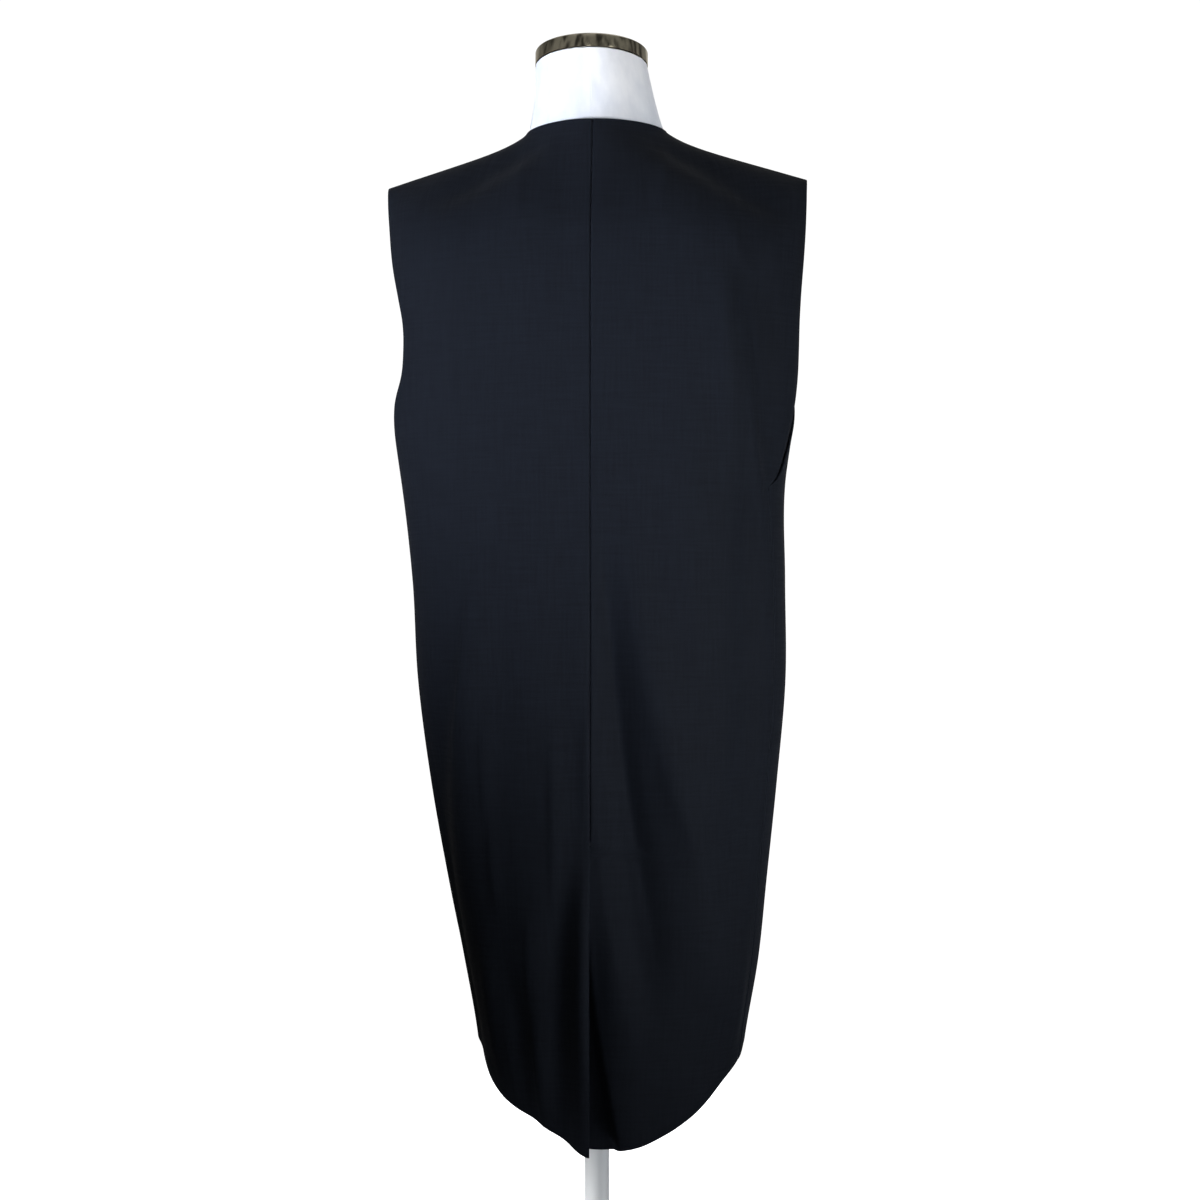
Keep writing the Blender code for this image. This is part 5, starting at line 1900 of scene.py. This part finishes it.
@dataclass
class Studio:
    """A white sweep, soft lights and the camera at the photograph's angle."""

    camera_distance: float = 2.4
    camera_height: float = 0.98
    camera_turn: float = 3.0  # degrees round to the wearer's right
    focal_px: float = 2365.0  # of a picture 1200 pixels wide
    picture_px: float = 1200.0
    sensor_mm: float = 36.0
    axis_px: float = 597.0  # where the stand's axis stands in the picture
    floor_rings: tuple[float, ...] = (0.0, 0.5, 2.0, 8.0, 30.0)
    paper: str = "f4f4f4"
    paper_unseen: str = "6b6964"  # the floor as it lights the object and is mirrored in it
    paper_grain: float = 60.0  # a soft unevenness of about 17 mm
    paper_glow: float = 0.78  # how much the paper glows by the stand
    paper_reach: tuple[float, float] = (0.5, 1.3)  # and how far out that starts and ends turning white
    white: float = 1.05  # the ground's brightness, just over full white
    room: float = 0.015  # how bright the dim room is, of full white
    mirrored_room: float = 0.58  # and how bright it is where something shiny mirrors it
    room_tones: tuple[tuple[float, str], ...] = (
        (0.0, "a9a296"), (0.30, "8f8d84"), (0.55, "858379"), (0.78, "f4efe4"), (1.0, "ffffff")
    )  # its walls, from the horizon up to the ceiling
    post_scale: tuple[float, float, float] = (4.6, 4.6, 0.5)  # upright dark and light posts round the room
    post_edge: tuple[float, float] = (0.40, 0.56)  # of the noise, the part that makes a post's side
    posts: tuple[float, float] = (0.25, 1.5)  # how bright a dark and a light post are
    front_wall: float = 1.6  # how much brighter the wall before the wearer is
    front_edge: tuple[float, float] = (0.55, 0.95)  # where it starts and is whole; 1 is straight ahead
    # Small lamps that only a shiny piece shows: their directions, radii at full and no light, strength
    mirrored_lamps: tuple[tuple[float, float, float], ...] = ((-0.05, -0.97, 0.23), (0.66, -0.71, 0.23))
    mirrored_radii: tuple[float, float] = (0.05, 0.11)
    mirrored_lamp: float = 18.0
    lights: tuple[Softbox, ...] = (
        Softbox("left_rear", -55.0, 1.50, 0.95, 1.36, 0.7, 2.5, 28.0, "e8f0ff"),
        Softbox("left_side", -85.0, 1.60, 1.10, 1.25, 0.8, 0.4, 40.0, "e8f0ff"),
        Softbox("left_low", -75.0, 1.30, 0.20, 0.14, 0.4, 1.5, 24.0, "f4f6f8"),
        Softbox("rear_low", 10.0, 1.30, 0.20, 0.12, 0.3, 0.5, 20.0, "f8f8f6"),
        Softbox("right_rear_high", 35.0, 1.50, 0.90, 1.28, 0.9, 1.5, 44.0, "eaf2ff"),
        Softbox("right_rear_low", 52.0, 1.50, 0.95, 0.82, 0.9, 1.75, 50.0, "f0f6fc"),
        Softbox("rear", 5.0, 1.50, 1.00, 0.95, 0.9, 0.5, 50.0, "f0f6fc"),
        Softbox("neck", 16.0, 1.50, 0.90, 1.58, 0.15, 0.05, 8.0, "fff6ea"),
        Softbox("right_side", 85.0, 2.00, 1.00, 1.10, 1.0, 0.4, 60.0, "f4f6f8"),
        Softbox("front_right", 160.0, 2.40, 1.05, 1.00, 1.4, 48.0, 180.0, "f6f8ff"),
        Softbox("front_left", -178.0, 2.60, 1.20, 1.00, 1.2, 20.0, 180.0, "f6f8ff"),
    )

    def camera(self) -> None:
        """The camera: level, behind the wearer, a little round to the wearer's right."""
        data = bpy.data.cameras.new("camera")
        data.sensor_width = self.sensor_mm
        data.lens = self.focal_px * self.sensor_mm / self.picture_px
        data.shift_x = (self.picture_px / 2 - self.axis_px) / self.picture_px
        made = bpy.data.objects.new("camera", data)
        turn = math.radians(self.camera_turn)
        away = self.camera_distance
        made.location = (away * math.sin(turn), -away * math.cos(turn), self.camera_height)
        made.rotation_euler = (math.pi / 2, 0.0, turn)
        bpy.context.scene.collection.objects.link(made)
        bpy.context.scene.camera = made

    def floor(self) -> None:
        """A wide round floor of bright paper, which the eye sees as white up to the horizon."""
        made, tree, shader = new_material("white_paper_sweep", {
            "Base Color": linear(self.paper), "Roughness": 0.9,
        })
        place = add_node(tree, "TexCoord").outputs["Object"]
        dull = add_node(tree, "BsdfDiffuse", {"Color": linear(self.paper_unseen)})
        grain = add_node(tree, "TexNoise", {"Scale": self.paper_grain, "Detail": 3.0}, {"Vector": place})
        bump = add_node(tree, "Bump", {"Strength": 0.05, "Distance": 0.001}, {
            "Height": grain.outputs["Fac"]
        })
        tree.links.new(bump.outputs[0], shader.inputs["Normal"])
        away = add_node(tree, "VectorMath", {"operation": "LENGTH"}, {0: place})
        bright = add_node(tree, "MapRange", {
            "From Min": self.paper_reach[0], "From Max": self.paper_reach[1],
            "To Min": self.paper_glow, "To Max": self.white,
        }, {"Value": away.outputs["Value"]})
        glow = add_node(tree, "Emission", {"Color": linear("ffffff")}, {"Strength": bright.outputs[0]})
        seen = add_node(tree, "LightPath").outputs["Is Camera Ray"]
        lit = add_node(tree, "AddShader", {}, {0: shader.outputs[0], 1: glow.outputs[0]})
        mix = add_node(tree, "MixShader", {}, {0: seen, 1: dull.outputs[0], 2: lit.outputs[0]})
        tree.links.new(mix.outputs[0], tree.nodes["Material Output"].inputs["Surface"])
        points = carried_round([(radius, 0.0) for radius in self.floor_rings], 96)
        floor = add_mesh("paper_floor", points.reshape(-1, 3), grid_faces(len(points), 96, wrap=True), made)
        close_up(floor)
        if floor.data.polygons[0].normal.z < 0:
            floor.data.flip_normals()

    def world(self) -> None:
        """The room: white behind the object, and dim where it only lights or is mirrored."""
        room = bpy.data.worlds.new("studio")
        bpy.context.scene.world = room
        room.use_nodes = True
        tree = room.node_tree
        white = tree.nodes["Background"]
        white.inputs["Color"].default_value = linear("ffffff")
        white.inputs["Strength"].default_value = self.white
        direction = add_node(tree, "TexCoord").outputs["Generated"]
        part = add_node(tree, "SeparateXYZ", {}, {0: direction})
        ramp = add_node(tree, "ValToRGB", {}, {"Fac": part.outputs["Z"]})
        stops = ramp.color_ramp.elements
        for stop, (place, colour) in zip(stops, (self.room_tones[0], self.room_tones[-1])):
            stop.position, stop.color = place, linear(colour)
        for place, colour in self.room_tones[1:-1]:
            stops.new(place).color = linear(colour)
        upright = add_node(tree, "Mapping", {"Scale": self.post_scale}, {"Vector": direction})
        walls = add_node(tree, "TexNoise", {"Scale": 1.0, "Detail": 2.0}, {"Vector": upright.outputs[0]})
        posts = add_node(tree, "MapRange", {
            "From Min": self.post_edge[0], "From Max": self.post_edge[1],
            "To Min": self.posts[0], "To Max": self.posts[1],
        }, {"Value": walls.outputs["Fac"]})
        shown = [posts.outputs[0], add_node(tree, "MapRange", {
            "From Min": self.front_edge[0], "From Max": self.front_edge[1],
            "To Min": 0.0, "To Max": self.front_wall,
        }, {"Value": part.outputs["Y"]}).outputs[0]]
        for place in self.mirrored_lamps:
            away = add_node(tree, "VectorMath", {"operation": "DISTANCE", 1: place}, {0: direction})
            shown.append(add_node(tree, "MapRange", {
                "From Min": self.mirrored_radii[1], "From Max": self.mirrored_radii[0],
                "To Min": 0.0, "To Max": self.mirrored_lamp,
            }, {"Value": away.outputs["Value"]}).outputs[0])
        total = shown[0]
        for more in shown[1:]:
            total = add_node(tree, "Math", {"operation": "ADD"}, {0: total, 1: more}).outputs[0]
        strength = add_node(tree, "Math", {"operation": "MULTIPLY", 1: self.mirrored_room}, {0: total})
        mirrored = add_node(tree, "Background", {}, {
            "Color": ramp.outputs[0], "Strength": strength.outputs[0]
        })
        dim = add_node(tree, "Background", {"Strength": self.room}, {"Color": ramp.outputs[0]})
        seen = add_node(tree, "LightPath").outputs
        unseen = add_node(tree, "MixShader", {}, {
            0: seen["Is Glossy Ray"], 1: dim.outputs[0], 2: mirrored.outputs[0]
        })
        mix = add_node(tree, "MixShader", {}, {
            0: seen["Is Camera Ray"], 1: unseen.outputs[0], 2: white.outputs[0]
        })
        tree.links.new(mix.outputs[0], tree.nodes["World Output"].inputs["Surface"])

    def build(self) -> None:
        """Sets up the camera, floor, room and lights, shown with their own plain colours."""
        bpy.context.scene.view_settings.view_transform = "Standard"
        self.camera()
        self.floor()
        self.world()
        for light in self.lights:
            light.build()


def main() -> None:
    """Builds each sub-assembly in order and reports its pieces."""
    logging.basicConfig(level=logging.INFO, format="%(name)s: %(message)s")
    Studio().build()
    for assembly in (DressForm(), NeckCap(), Stand(), Waistcoat()):
        for piece in assembly.build():
            LOG.info("%s: %s, %d faces", type(assembly).__name__, piece.name, len(piece.data.polygons))


if __name__ == "__main__":
    main()
